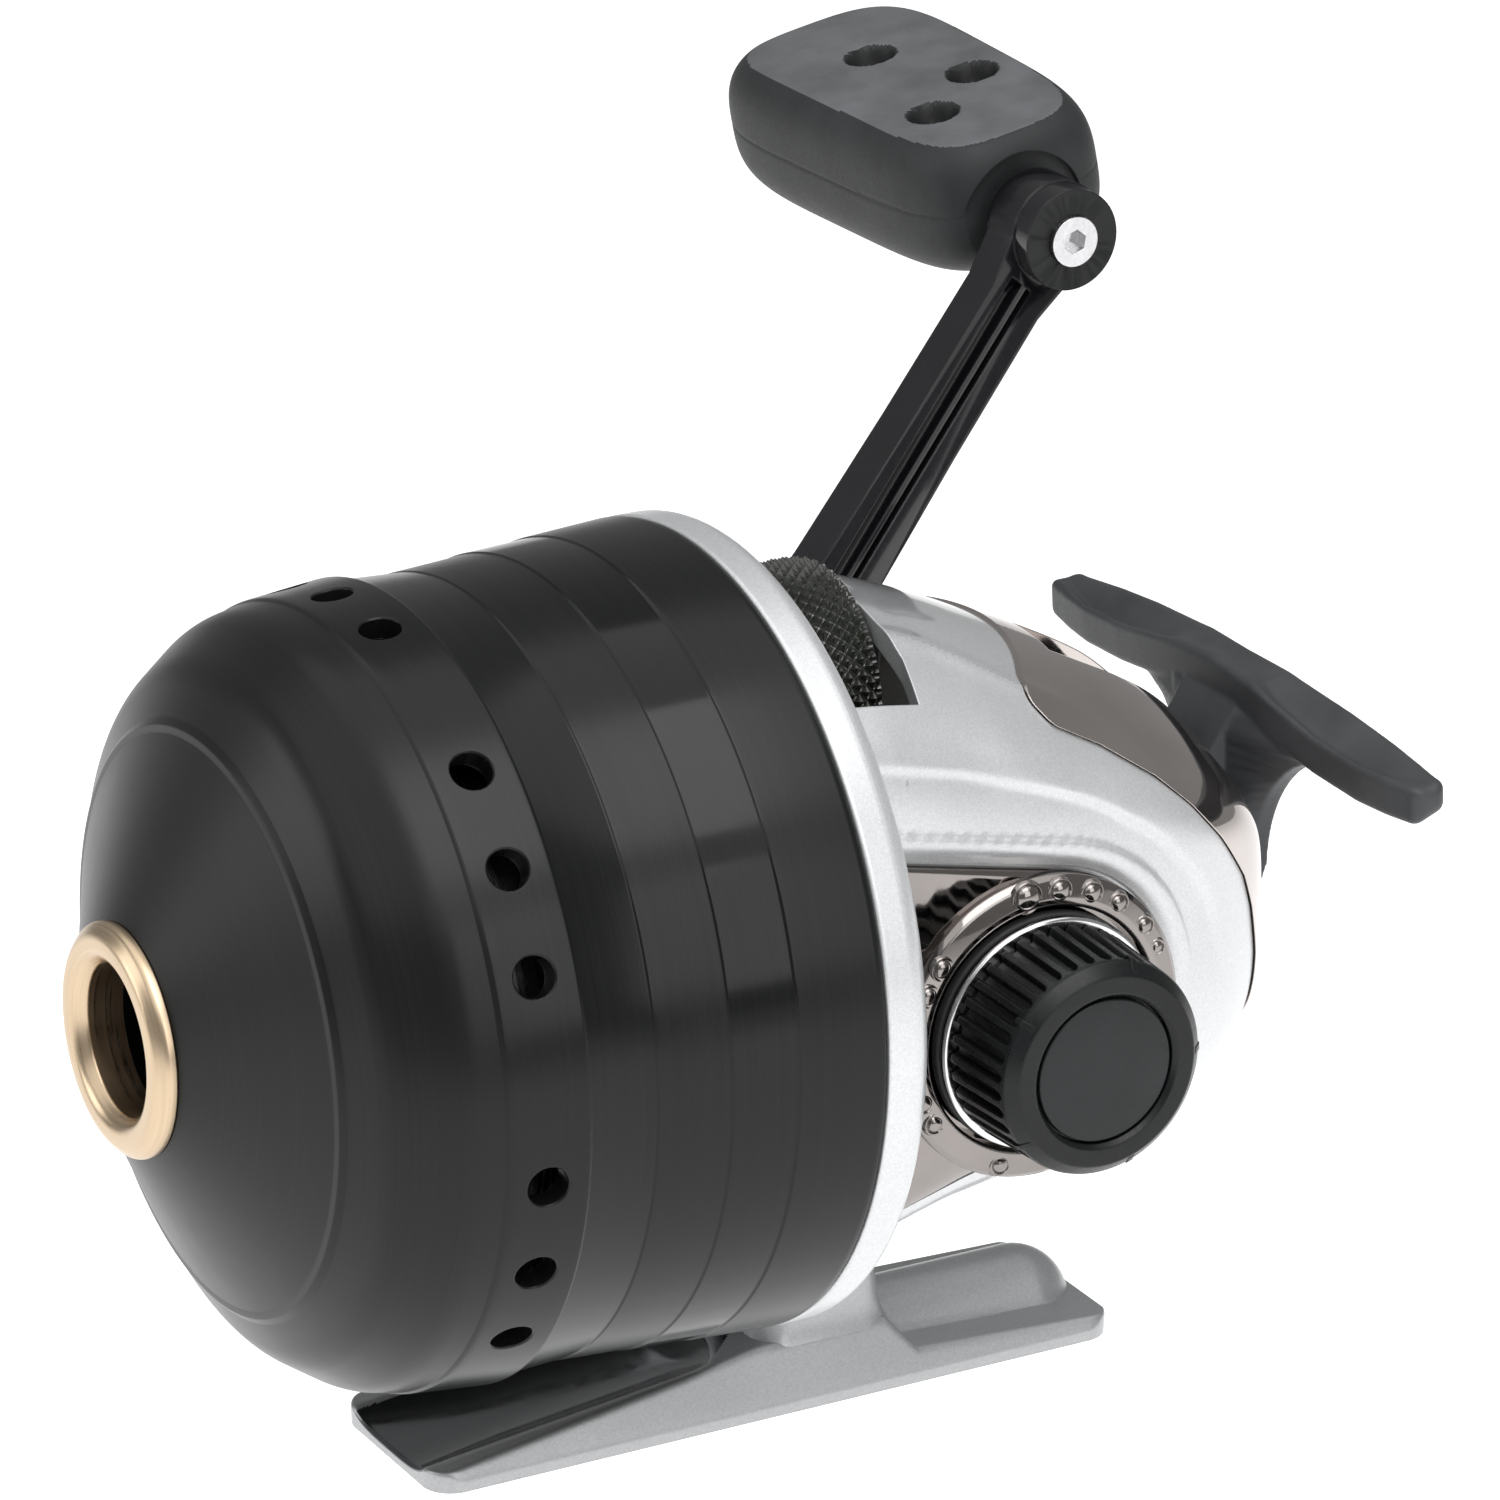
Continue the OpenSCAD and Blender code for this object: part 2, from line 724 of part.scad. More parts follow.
module paddle_spindle() {
    place() color([0.75, 0.75, 0.76]) on_crank() translate([0, crank_len, 0]) rotate([0, -90, 0]) difference() {
        union() {
            translate([0, 0, 35.3]) cylinder(r = 2.2, h = 30.7);
            translate([0, 0, 34.6]) cylinder(r = 2.2, h = 0.8);
        }
        translate([0, 0, 34]) cylinder(r = 1.1, h = 1.8, $fn = 6);
    }
}

module spindle_retainer() {
    place() color([0.6, 0.6, 0.62]) on_crank() translate([-66.8, crank_len, 0]) rotate([0, 90, 0]) cylinder(r = 3.6, h = 0.8);
}

paddle_near = -42.6;

// the spindle's end of the arm at rest
module at_paddle() {
    translate([0, crank_y + crank_len * cos(crank_angle), crank_z + crank_len * sin(crank_angle)]) children();
}

// outline of a bar from x0 to x1 with half widths w0 and w1 and corners of radius r
function soft_outline(x0, x1, w0, w1, r) = concat(
    arc([x0 + r, w0 - r], r, 180, 90, 6),
    arc([x1 - r, w1 - r], r, 90, 0, 6),
    arc([x1 - r, r - w1], r, 0, -90, 6),
    arc([x0 + r, r - w0], r, -90, -180, 6)
);

module paddle() {
    far = paddle_near - paddle_len;
    place() color([0.11, 0.11, 0.12]) at_paddle() difference() {
        rotate([paddle_turn, 0, 0]) translate([0, 1, 1.6]) intersection() {
            linear_extrude(height = 40, center = true)
                polygon(soft_outline(far, paddle_near, paddle_w / 2, paddle_w / 2 - 1.8, 7));
            rotate([90, 0, 0]) linear_extrude(height = 40, center = true)
                polygon(soft_outline(far, paddle_near, paddle_t / 2, paddle_t / 2 - 0.3, 5.5));
            rotate([90, 0, 90]) linear_extrude(height = 200, center = true)
                polygon(soft_outline(-paddle_w / 2, paddle_w / 2, paddle_t / 2, paddle_t / 2, 6));
        }
        rotate([0, -90, 0]) cylinder(r = 2.26, h = 65);
        rotate([0, -90, 0]) cylinder(r = 5.7, h = 43.4);
        translate([-64.9, 0, 0]) rotate([0, -90, 0]) cylinder(r = 4, h = 30);
    }
}

module paddle_plug() {
    place() color([0.1, 0.1, 0.11]) at_paddle() translate([-80.4, 0, 0]) rotate([0, 90, 0]) cylinder(r = 3.95, h = 8);
}

// ---- side dial ----

module side_dial() {
    place() color([0.04, 0.04, 0.045]) difference() {
        union() {
            along_crank(23.8) linear_extrude(height = 7.4) polygon([
                for (k = [0 : dial_ribs - 1])
                    for (p = [[dial_r - 0.75, -0.34], [dial_r, -0.2], [dial_r, 0.2], [dial_r - 0.75, 0.34]])
                        let (a = 360 * (k + p[1]) / dial_ribs)
                            p[0] * [cos(a), sin(a)]
            ]);
            along_crank() rotate_extrude() polygon([
                [0, 23.8], [dial_r - 0.7, 23.8], [dial_r - 0.7, 31.2], [dial_r - 0.9, 31.6],
                [dial_r - 1.7, 32.3], [0, 32.3]
            ]);
            for (a = [20 : 60 : 320])
                along_crank(30.6) rotate(a) translate([dial_r - 1.5, -0.5, 0])
                    cube([1.5, 1, 1.3]);
        }
        rod_x(6.35, 31.2, 40);
        rod_x(dial_post_r + 0.06, 20, 40);
    }
}

module dial_cap() {
    place() color([0.05, 0.05, 0.055]) rod_x(6.3, 31.25, 32.05);
}

module dial_washer() {
    place() color([0.85, 0.85, 0.86]) tube_x(9.6, 3.3, 22.85, 23.7);
}

module dial_seat() {
    place() color([0.05, 0.05, 0.05]) tube_x(9.9, 3.3, 21.95, 22.8);
}

module dial_post() {
    place() color([0.7, 0.7, 0.72]) rod_x(dial_post_r, 17.3, 31.1);
}

// ---- thumb lever ----

module lever_wing(s) {
    hull() {
        translate([0, 51.2, 11.8]) rotate([0, 90, 0]) cylinder(r = 1.7, h = 1, center = true, $fn = 20);
        translate([s * 15, 50.9, 9.8]) sphere(r = 1.5, $fn = 20);
        translate([s * 15, 52.4, 12.1]) sphere(r = 1.2, $fn = 20);
        translate([s * (lever_half - 2.2), 52.2, 9.5]) sphere(r = 1.6, $fn = 20);
        translate([s * (lever_half - 3), 52.9, 10.9]) sphere(r = 1.2, $fn = 20);
    }
}

module thumb_lever() {
    place() color([0.22, 0.23, 0.24]) difference() {
        union() {
            lever_wing(-1);
            lever_wing(1);
            // web that flares from the slot up to the wings
            translate([0, 52.9, 0]) rotate([90, 0, 0]) linear_extrude(height = 2.5) polygon(concat(
                arc([17, -4], 13, 180, 100, 8),
                [[13, 10.6], [-13, 10.6]],
                arc([-17, -4], 13, 80, 0, 8)
            ));
            // arm through the slot, down to the pivot
            across(-4, 4) polygon([
                [44.65, -9.2], [44.65, 2.6], [46.5, 6.5], [49.8, 11.4], [52, 11.4], [52.9, 6],
                [52.9, -3.6], [52, -6.4], [49.3, -8.3], [47.2, -10.6]
            ]);
            translate([-4, lever_pivot[0], lever_pivot[1]]) rotate([0, 90, 0]) cylinder(r = 2.4, h = 8);
        }
        translate([-5, lever_pivot[0], lever_pivot[1]]) rotate([0, 90, 0]) cylinder(r = lever_pin_r + 0.06, h = 10);
    }
}

module lever_pivot_pin() {
    place() color([0.7, 0.7, 0.72]) translate([-9.2, lever_pivot[0], lever_pivot[1]]) rotate([0, 90, 0])
        cylinder(r = lever_pin_r, h = 18.4);
}

// ---- foot ----

module reel_foot() {
    bottom = -axis_height;
    front = cover_rear - foot_len / 2;
    rear = cover_rear + foot_len / 2;
    half = foot_w / 2;
    place() color([0.79, 0.79, 0.8]) difference() {
        union() {
            intersection() {
                across(-half, half) polygon([
                    [front, bottom], [front, bottom + 1.7], [-4, bottom + 4.4], [3.4, bottom + 5.6],
                    [15.2, bottom + 5.6], [16, bottom + 2.6], [rear, bottom + 1.9], [rear, bottom]
                ]);
                translate([0, 0, bottom]) linear_extrude(height = 10) union() {
                    translate([-half, front + 2.6]) square([foot_w, foot_len - 5.4]);
                    translate([2.6 - half, front]) square([foot_w - 5.2, foot_len]);
                    for (s = [-1, 1]) {
                        translate([s * (half - 2.6), front + 2.6]) circle(r = 2.6);
                        translate([s * (half - 2.6), rear - 2.6]) circle(r = 2.6);
                    }
                }
                translate([0, 60, bottom]) rotate([90, 0, 0]) linear_extrude(height = 120)
                    polygon([[-half, 0], [half, 0], [half, 1.2], [half - 2.3, 5.8], [2.3 - half, 5.8], [-half, 1.2]]);
            }
            translate([0, 0, bottom + 0.9]) rod_y(4.6, 15, rear - 4.7);
            translate([0, rear - 4.7, bottom + 0.9]) sphere(r = 4.6);
            difference() {
                translate([-6.6, 4.6, bottom + 1]) cube([13.2, 10.6, 15]);
                housing_form(-0.04);
            }
        }
        // scooped channel along the front blade
        translate([0, front - 1, bottom + 12.7]) rotate([-84.2, 0, 0]) cylinder(r = 11.2, h = 29);
        translate([0, 0, bottom - 10]) linear_extrude(height = 10) square([40, 100], center = true);
        for (y = [7.6, 13]) {
            translate([0, y, bottom - 1]) cylinder(r = 1.25, h = 30);
            translate([0, y, bottom - 1]) cylinder(r = 2.6, h = 2.9);
        }
    }
}

module foot_screws() {
    place() color([0.7, 0.7, 0.7]) for (y = [7.6, 13])
        translate([0, y, -axis_height + 0.2]) difference() {
            union() {
                cylinder(r = 1.2, h = 19);
                cylinder(r = 2.5, h = 1.6);
            }
            translate([0, 0, -0.5]) cylinder(r = 1, h = 1.4, $fn = 6);
        }
}

front_cover();
line_guide_ring();
pinch_ring();
body_deck();
cover_seal();
spool_arbor();
spool_retainer();
spool();
line_winding();
drag_washers();
drag_ring_gear();
drag_thumbwheel();
thumbwheel_shaft();
rotor();
rotor_nut();
pickup_pin_left();
pickup_pin_right();
pin_spring_left();
pin_spring_right();
centre_shaft();
shaft_return_spring();
pinion();
pinion_bearing();
pinion_bracket();
bracket_screws();
gear_housing();
housing_screws();
rear_trim();
side_plate_left();
side_plate_right();
drive_gear();
crank_shaft();
left_bushing();
right_bushing();
anti_reverse_clutch();
crank_collar();
handle_arm();
handle_nut();
paddle_spindle();
spindle_retainer();
paddle();
paddle_plug();
side_dial();
dial_cap();
dial_washer();
dial_seat();
dial_post();
thumb_lever();
lever_pivot_pin();
reel_foot();
foot_screws();
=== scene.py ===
"""Spincast reel: visible skins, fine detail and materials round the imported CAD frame."""

import math

import bmesh
import bpy
import numpy as np
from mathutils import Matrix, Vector


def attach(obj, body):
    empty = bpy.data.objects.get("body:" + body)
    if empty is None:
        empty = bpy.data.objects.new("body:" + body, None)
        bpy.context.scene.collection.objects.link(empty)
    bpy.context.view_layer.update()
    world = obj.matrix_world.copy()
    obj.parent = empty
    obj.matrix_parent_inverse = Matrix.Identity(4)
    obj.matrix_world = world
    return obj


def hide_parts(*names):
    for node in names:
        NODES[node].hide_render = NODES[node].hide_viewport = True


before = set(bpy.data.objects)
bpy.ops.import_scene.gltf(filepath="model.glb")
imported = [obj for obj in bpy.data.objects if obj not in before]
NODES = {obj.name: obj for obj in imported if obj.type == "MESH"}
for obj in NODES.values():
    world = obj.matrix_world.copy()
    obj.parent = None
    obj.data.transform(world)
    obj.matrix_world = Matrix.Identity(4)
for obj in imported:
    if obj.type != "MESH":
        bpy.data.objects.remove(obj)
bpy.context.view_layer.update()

# Lengths below are in mm about the spool axis, with y = 0 at the cover's rear edge.
MM = 0.001
COVER_REAR = 4.5
AXIS_HEIGHT = 41.0
CRANK = (20.2, -5.0)
CRANK_ANGLE = math.radians(50)
CRANK_LEN = 57.0
WHEEL_Z = 18.8
LEVER_PIVOT = (45.5, -12.0)
AXIS_R = 0.01  # a turned solid starts this close to its axis
HOLD = (CRANK[0] + CRANK_LEN * math.cos(CRANK_ANGLE), CRANK[1] + CRANK_LEN * math.sin(CRANK_ANGLE))


def row(x, y, z):
    """A point about the spool axis, in the row frame and in metres."""
    return (x * MM, (y - COVER_REAR) * MM, (z + AXIS_HEIGHT) * MM)


# ---------------------------------------------------------------- mesh helpers


def rounded(points, closed=True, steps=5):
    """Points (a, b) or (a, b, radius); a corner with a radius becomes an arc."""
    out = []
    n = len(points)
    for i, p in enumerate(points):
        radius = p[2] if len(p) > 2 else 0
        if radius <= 0 or (not closed and i in (0, n - 1)):
            out.append((p[0], p[1]))
            continue
        q = Vector(p[:2])
        u = Vector(points[i - 1][:2]) - q
        v = Vector(points[(i + 1) % n][:2]) - q
        half = u.angle(v) / 2
        reach = min(radius / math.tan(half), 0.49 * u.length, 0.49 * v.length)
        radius = reach * math.tan(half)
        u.normalize()
        v.normalize()
        centre = q + (u + v).normalized() * (radius / math.sin(half))
        start = q + u * reach - centre
        end = q + v * reach - centre
        a0 = math.atan2(start.y, start.x)
        turn = math.atan2(end.y, end.x) - a0
        turn = (turn + math.pi) % (2 * math.pi) - math.pi
        for k in range(steps + 1):
            a = a0 + turn * k / steps
            out.append((centre.x + radius * math.cos(a), centre.y + radius * math.sin(a)))
    return out


def arc(centre, radius, start, stop, count):
    """Points of a circle's arc between two angles."""
    turns = np.linspace(start, stop, count)
    return [(centre[0] + radius * math.cos(a), centre[1] + radius * math.sin(a)) for a in turns]


def bridge(low, high, count):
    """Faces between two rings of count points, given the number of each ring's first point."""
    return [(low + k, low + (k + 1) % count, high + (k + 1) % count, high + k) for k in range(count)]


def bands(rings, count, base=0):
    """Faces through a stack of rings of count points, the first of them at base."""
    starts = [base + i * count for i in range(rings)]
    return [face for low, high in zip(starts, starts[1:]) for face in bridge(low, high, count)]


def joined(parts):
    """Several (verts, faces) as one."""
    verts, faces = [], []
    for part_verts, part_faces in parts:
        base = len(verts)
        verts += part_verts
        faces += [tuple(base + i for i in face) for face in part_faces]
    return verts, faces


def lathe(profile, segs, closed=True, shape=None):
    """Verts and faces of (r, h) turned about the h axis; shape(r, h, a) may change r."""
    verts = []
    for r, h in profile:
        for k in range(segs):
            a = 2 * math.pi * k / segs
            reach = shape(r, h, a) if shape else r
            verts.append((reach * math.sin(a), h, reach * math.cos(a)))
    faces = bands(len(profile), segs)
    if closed:
        faces += bridge((len(profile) - 1) * segs, 0, segs)
    return verts, faces


def turned(profile, segs, centre=CRANK, sign=1, shape=None):
    """A lathed (r, h) shape about a (y, z) centre, with h along X, or against it for the handle side."""
    verts, faces = lathe(profile, segs, True, shape)
    return [(sign * h, centre[0] + a, centre[1] + b) for a, h, b in verts], faces


def rod(radius, lo, hi):
    """Profile of a plain rod for lathe() and turned()."""
    return [(AXIS_R, lo), (radius, lo), (radius, hi), (AXIS_R, hi)]


def on_arm(verts):
    """Shapes drawn with the crank axis at the origin and the arm along +Y."""
    c, s = math.cos(CRANK_ANGLE), math.sin(CRANK_ANGLE)
    return [(x, CRANK[0] + y * c - z * s, CRANK[1] + y * s + z * c) for x, y, z in verts]


def prism(outline, lo, hi, axis="x"):
    """Verts and faces of an outline extruded from lo to hi along an axis."""
    n = len(outline)
    order = {"x": (2, 0, 1), "y": (0, 2, 1), "z": (0, 1, 2)}[axis]
    verts = [tuple((*p[:2], h)[i] for i in order) for h in (lo, hi) for p in outline]
    faces = [tuple(range(n)), tuple(range(2 * n - 1, n - 1, -1))]
    faces += [(i, i + n, (i + 1) % n + n, (i + 1) % n) for i in range(n)]
    return verts, faces


def loft(rings):
    """A closed solid through rings of equal counts."""
    n = len(rings[0])
    verts = [v for ring in rings for v in ring]
    ends = [tuple(range(n)), tuple(range(len(verts) - 1, len(verts) - n - 1, -1))]
    return verts, bands(len(rings), n) + ends


def new_object(name, verts, faces, merge=1e-6):
    """A mesh object from points about the spool axis in mm; points closer than merge metres become one."""
    mesh = bpy.data.meshes.new(name)
    mesh.from_pydata([row(*v) for v in verts], [], faces)
    obj = bpy.data.objects.new(name, mesh)
    bpy.context.scene.collection.objects.link(obj)
    bm = bmesh.new()
    bm.from_mesh(mesh)
    if merge:
        bmesh.ops.remove_doubles(bm, verts=bm.verts, dist=merge)
    bmesh.ops.recalc_face_normals(bm, faces=bm.faces)
    bm.to_mesh(mesh)
    bm.free()
    return obj


def bake(obj):
    """Applies an object's modifiers to its mesh."""
    bpy.context.view_layer.update()
    graph = bpy.context.evaluated_depsgraph_get()
    mesh = bpy.data.meshes.new_from_object(obj.evaluated_get(graph))
    obj.modifiers.clear()
    old = obj.data
    obj.data = mesh
    bpy.data.meshes.remove(old)
    mesh.name = obj.name


def combine(obj, tool, operation="DIFFERENCE"):
    """Cuts, joins or intersects an object with a tool, and deletes the tool."""
    mod = obj.modifiers.new("combine", "BOOLEAN")
    mod.operation = operation
    mod.object = tool
    mod.solver = "EXACT"
    bake(obj)
    bpy.data.objects.remove(tool)


def bevel(obj, width, segments=3, angle=35):
    mod = obj.modifiers.new("bevel", "BEVEL")
    mod.width = width * MM
    mod.segments = segments
    mod.limit_method = "ANGLE"
    mod.angle_limit = math.radians(angle)
    mod.use_clamp_overlap = True
    bake(obj)


def sharpen(obj, angle=32):
    """Smooth shading, broken where two faces meet at more than the angle."""
    bm = bmesh.new()
    bm.from_mesh(obj.data)
    limit = math.radians(angle)
    for edge in bm.edges:
        edge.smooth = len(edge.link_faces) == 2 and edge.calc_face_angle() < limit
    for face in bm.faces:
        face.smooth = True
    bm.to_mesh(obj.data)
    bm.free()


def done(obj, material, body, nodes=(), slot=None, angle=32):
    """Shades a finished piece, gives it its material and hangs it on its body."""
    sharpen(obj, angle)
    obj.data.materials.clear()
    obj.data.materials.append(material)
    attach(obj, body)
    if nodes:
        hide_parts(*nodes)


def piece(name, part, *looks, **more):
    """A finished piece straight from its (verts, faces)."""
    done(new_object(name, *part), *looks, **more)


def repaint(obj, materials, choose):
    """Adds materials and gives each face the index that choose(x, y, z, normal) returns for its middle."""
    for material in materials:
        obj.data.materials.append(material)
    for face in obj.data.polygons:
        x, y, z = (c / MM for c in face.center)
        face.material_index = choose(x, y + COVER_REAR, z - AXIS_HEIGHT, face.normal)


# ---------------------------------------------------------------- materials


class Nodes:
    """A material's node tree, with a Principled shader ready."""

    def __init__(self, name, color, rough, metal=0.0, spec=0.5):
        self.material = bpy.data.materials.new(name)
        self.material.use_nodes = True
        self.tree = self.material.node_tree
        self.shader = self.tree.nodes["Principled BSDF"]
        self.set(self.shader, "Base Color", (*color, 1))
        self.set(self.shader, "Roughness", rough)
        self.set(self.shader, "Metallic", metal)
        self.set(self.shader, "Specular IOR Level", spec)

    def set(self, node, socket, value):
        node.inputs[socket].default_value = value

    def add(self, kind, **settings):
        node = self.tree.nodes.new("ShaderNode" + kind)
        for key, value in settings.items():
            setattr(node, key, value)
        return node

    def link(self, a, out, b, into):
        self.tree.links.new(a.outputs[out], b.inputs[into])

    def coords(self):
        return self.add("TexCoord")

    def math(self, operation, *inputs):
        """A Math node's (node, output), from numbers or such pairs."""
        node = self.add("Math", operation=operation)
        for index, value in enumerate(inputs):
            if isinstance(value, tuple):
                self.link(*value, node, index)
            else:
                self.set(node, index, value)
        return node, "Value"

    def noise(self, scale, detail=3.0, rough=0.5, stretch=None, offset=(0, 0, 0)):
        """Noise over object coordinates, in features per metre."""
        tex = self.add("TexNoise")
        self.set(tex, "Scale", scale)
        self.set(tex, "Detail", detail)
        self.set(tex, "Roughness", rough)
        mapping = self.add("Mapping")
        mapping.inputs["Scale"].default_value = stretch or (1, 1, 1)
        mapping.inputs["Location"].default_value = offset
        self.link(self.coords(), "Object", mapping, "Vector")
        self.link(mapping, "Vector", tex, "Vector")
        return tex

    def ramp(self, source, output, lo, hi, color_lo, color_hi):
        ramp = self.add("ValToRGB")
        ramp.color_ramp.elements[0].position = lo
        ramp.color_ramp.elements[1].position = hi
        ramp.color_ramp.elements[0].color = (*color_lo, 1)
        ramp.color_ramp.elements[1].color = (*color_hi, 1)
        self.link(source, output, ramp, "Fac")
        return ramp

    def spread(self, source, output, lo, hi, to_lo, to_hi):
        rng = self.add("MapRange")
        for key, value in zip(("From Min", "From Max", "To Min", "To Max"), (lo, hi, to_lo, to_hi)):
            self.set(rng, key, value)
        self.link(source, output, rng, "Value")
        return rng

    def bump(self, source, output, strength, distance_mm, radius_mm=0.0):
        """Bump from a height, over normals softened by a small edge radius."""
        bump = self.add("Bump")
        self.set(bump, "Strength", strength)
        self.set(bump, "Distance", distance_mm * MM)
        self.link(source, output, bump, "Height")
        if radius_mm:
            edge = self.add("Bevel", samples=6)
            self.set(edge, "Radius", radius_mm * MM)
            self.link(edge, "Normal", bump, "Normal")
        self.link(bump, "Normal", self.shader, "Normal")
        return bump


def turned_grain(t, about_crank, stretch, scale, detail, rough):
    """Noise in fine rings about the crank or the spool axis; also returns the object coordinates."""
    parts = t.add("SeparateXYZ")
    t.link(t.coords(), "Object", parts, "Vector")
    centre = (CRANK[0] - COVER_REAR, CRANK[1] + AXIS_HEIGHT) if about_crank else (0.0, AXIS_HEIGHT)
    first, along = ("Y", "X") if about_crank else ("X", "Y")
    across = t.math("SUBTRACT", (parts, first), centre[0] * MM)
    up = t.math("SUBTRACT", (parts, "Z"), centre[1] * MM)
    turn = t.math("ARCTAN2", across, up)
    radius = t.math("SQRT", t.math("MULTIPLY_ADD", up, up, t.math("MULTIPLY", across, across)))
    vector = t.add("CombineXYZ")
    for source, axis in ((turn, "X"), ((parts, along), "Y"), (radius, "Z")):
        t.link(*source, vector, axis)
    mapping = t.add("Mapping")
    mapping.inputs["Scale"].default_value = (stretch, scale, scale)
    t.link(vector, "Vector", mapping, "Vector")
    grain = t.add("TexNoise")
    t.set(grain, "Scale", 1.0)
    t.set(grain, "Detail", detail)
    t.set(grain, "Roughness", rough)
    t.link(mapping, "Vector", grain, "Vector")
    return grain, parts


def anodised_cover():
    """Black turned aluminium: fine circular grain, and bands that differ in gloss."""
    t = Nodes("black_anodised", (0.008, 0.008, 0.008), 0.3, 0.0, 0.24)
    grain, parts = turned_grain(t, False, 0.35, 5200, 4.0, 0.65)
    smudge = t.noise(42, 4, 0.6, offset=(3, 1, 7))
    grey = t.ramp(grain, "Fac", 0.3, 0.75, (0.0040, 0.0046, 0.0042), (0.0078, 0.0086, 0.0080))
    t.link(grey, "Color", t.shader, "Base Color")
    band = t.add("ValToRGB")
    band.color_ramp.interpolation = "CONSTANT"
    gloss_bands = (
        (0.0, 0.34), (0.155, 0.30), (0.36, 0.24), (0.49, 0.20), (0.62, 0.24), (0.735, 0.11), (0.852, 0.26),
    )
    while len(band.color_ramp.elements) < len(gloss_bands):
        band.color_ramp.elements.new(0.5)
    for element, (position, value) in zip(band.color_ramp.elements, gloss_bands):
        element.position = position
        element.color = (value, value, value, 1)
    where = t.spread(parts, "Y", (-50 - COVER_REAR) * MM, -COVER_REAR * MM, 0.0, 1.0)
    t.link(where, "Result", band, "Fac")
    wear = t.spread(smudge, "Fac", 0.35, 0.7, -0.03, 0.05)
    rough = t.math("ADD", (band, "Color"), (wear, "Result"))
    t.link(*rough, t.shader, "Roughness")
    t.bump(grain, "Fac", 0.16, 0.012, 0.12)
    return t.material


def silver_paint(name, shine=0.0, tone=1.0):
    """Metallic silver lacquer: bright flake, soft mottling and a clear coat."""
    t = Nodes(name, (0.6, 0.61, 0.62), 0.36, 0.6, 0.5)
    flake = t.add("TexVoronoi")
    t.set(flake, "Scale", 8600)
    t.link(t.coords(), "Object", flake, "Vector")
    low, high = (tuple(c * tone for c in base) for base in ((0.57, 0.58, 0.59), (0.67, 0.68, 0.69)))
    sparkle = t.ramp(flake, "Color", 0.15, 0.9, low, high)
    t.link(sparkle, "Color", t.shader, "Base Color")
    cloud = t.noise(90, 3, 0.5)
    rough = t.spread(cloud, "Fac", 0.3, 0.7, 0.36 - shine * 0.25, 0.44 - shine * 0.25)
    t.link(rough, "Result", t.shader, "Roughness")
    t.set(t.shader, "Coat Weight", 0.35 + shine * 0.5)
    t.set(t.shader, "Coat Roughness", 0.16 - shine * 0.1)
    t.bump(flake, "Distance", 0.04, 0.006, 0.25)
    return t.material


def smoked_chrome(name, tone=1.0):
    """Mirror plating with a pinkish-grey tint and the faintest ripple."""
    low = tuple(c * tone for c in (0.24, 0.22, 0.21))
    high = tuple(c * tone for c in (0.28, 0.257, 0.246))
    t = Nodes(name, high, 0.05, 1.0)
    ripple = t.noise(120, 2, 0.4)
    tint = t.ramp(ripple, "Fac", 0.3, 0.7, low, high)
    t.link(tint, "Color", t.shader, "Base Color")
    haze = t.noise(700, 4, 0.6)
    rough = t.spread(haze, "Fac", 0.35, 0.75, 0.04, 0.09)
    t.link(rough, "Result", t.shader, "Roughness")
    t.bump(ripple, "Fac", 0.12, 0.05, 0.15)
    return t.material


def polished(name, color, rough, grain_scale=0.0, about_crank=False):
    """Bright metal, with circular machining where a grain scale is given."""
    t = Nodes(name, color, rough, 1.0)
    dark = tuple(c * 0.82 for c in color)
    if grain_scale:
        grain, _ = turned_grain(t, about_crank, 0.6, grain_scale, 3.0, 0.5)
    else:
        grain = t.noise(900, 4, 0.6)
    tint = t.ramp(grain, "Fac", 0.3, 0.7, dark, color)
    t.link(tint, "Color", t.shader, "Base Color")
    spread = t.spread(grain, "Fac", 0.3, 0.75, max(0.03, rough - 0.05), rough + 0.08)
    t.link(spread, "Result", t.shader, "Roughness")
    t.bump(grain, "Fac", 0.1, 0.02, 0.1)
    return t.material


def moulded(name, color, rough, pit=0.15, scale=2600, coat=0.0, edge=0.2, spec=0.35):
    """Moulded plastic or rubber: a fine even texture, faint mottling and soft edges."""
    t = Nodes(name, color, rough, 0.0, spec)
    grain = t.noise(scale, 3, 0.6)
    cloud = t.noise(160, 4, 0.55, offset=(5, 2, 1))
    light = tuple(min(1, c * 1.35) for c in color)
    dark = tuple(c * 0.85 for c in color)
    tint = t.ramp(cloud, "Fac", 0.3, 0.72, dark, light)
    t.link(tint, "Color", t.shader, "Base Color")
    spread = t.spread(grain, "Fac", 0.3, 0.7, rough - 0.05, rough + 0.07)
    t.link(spread, "Result", t.shader, "Roughness")
    if coat:
        t.set(t.shader, "Coat Weight", coat)
        t.set(t.shader, "Coat Roughness", 0.08)
    t.bump(grain, "Fac", pit, 0.03, edge)
    return t.material


BLACK_COVER = anodised_cover()
SILVER = silver_paint("silver_paint")
SILVER_SHINE = silver_paint("silver_polished", 1.0)
SMOKED = smoked_chrome("smoked_chrome")
TRIM_CHROME = smoked_chrome("trim_chrome", 2.1)
FOOT_POLISH = polished("polished_channel", (0.15, 0.155, 0.16), 0.13)
CHROME = polished("bright_chrome", (0.78, 0.78, 0.79), 0.09, 2500, True)
BRASS = polished("satin_brass", (0.62, 0.48, 0.33), 0.3, 3800)
BRASS_GEAR = polished("gear_brass", (0.62, 0.46, 0.22), 0.28)
BRONZE = polished("sintered_bronze", (0.45, 0.31, 0.16), 0.45)
STEEL = polished("turned_steel", (0.55, 0.55, 0.56), 0.25)
STEEL_SPIN = polished("polished_steel", (0.62, 0.62, 0.63), 0.16, 3000)
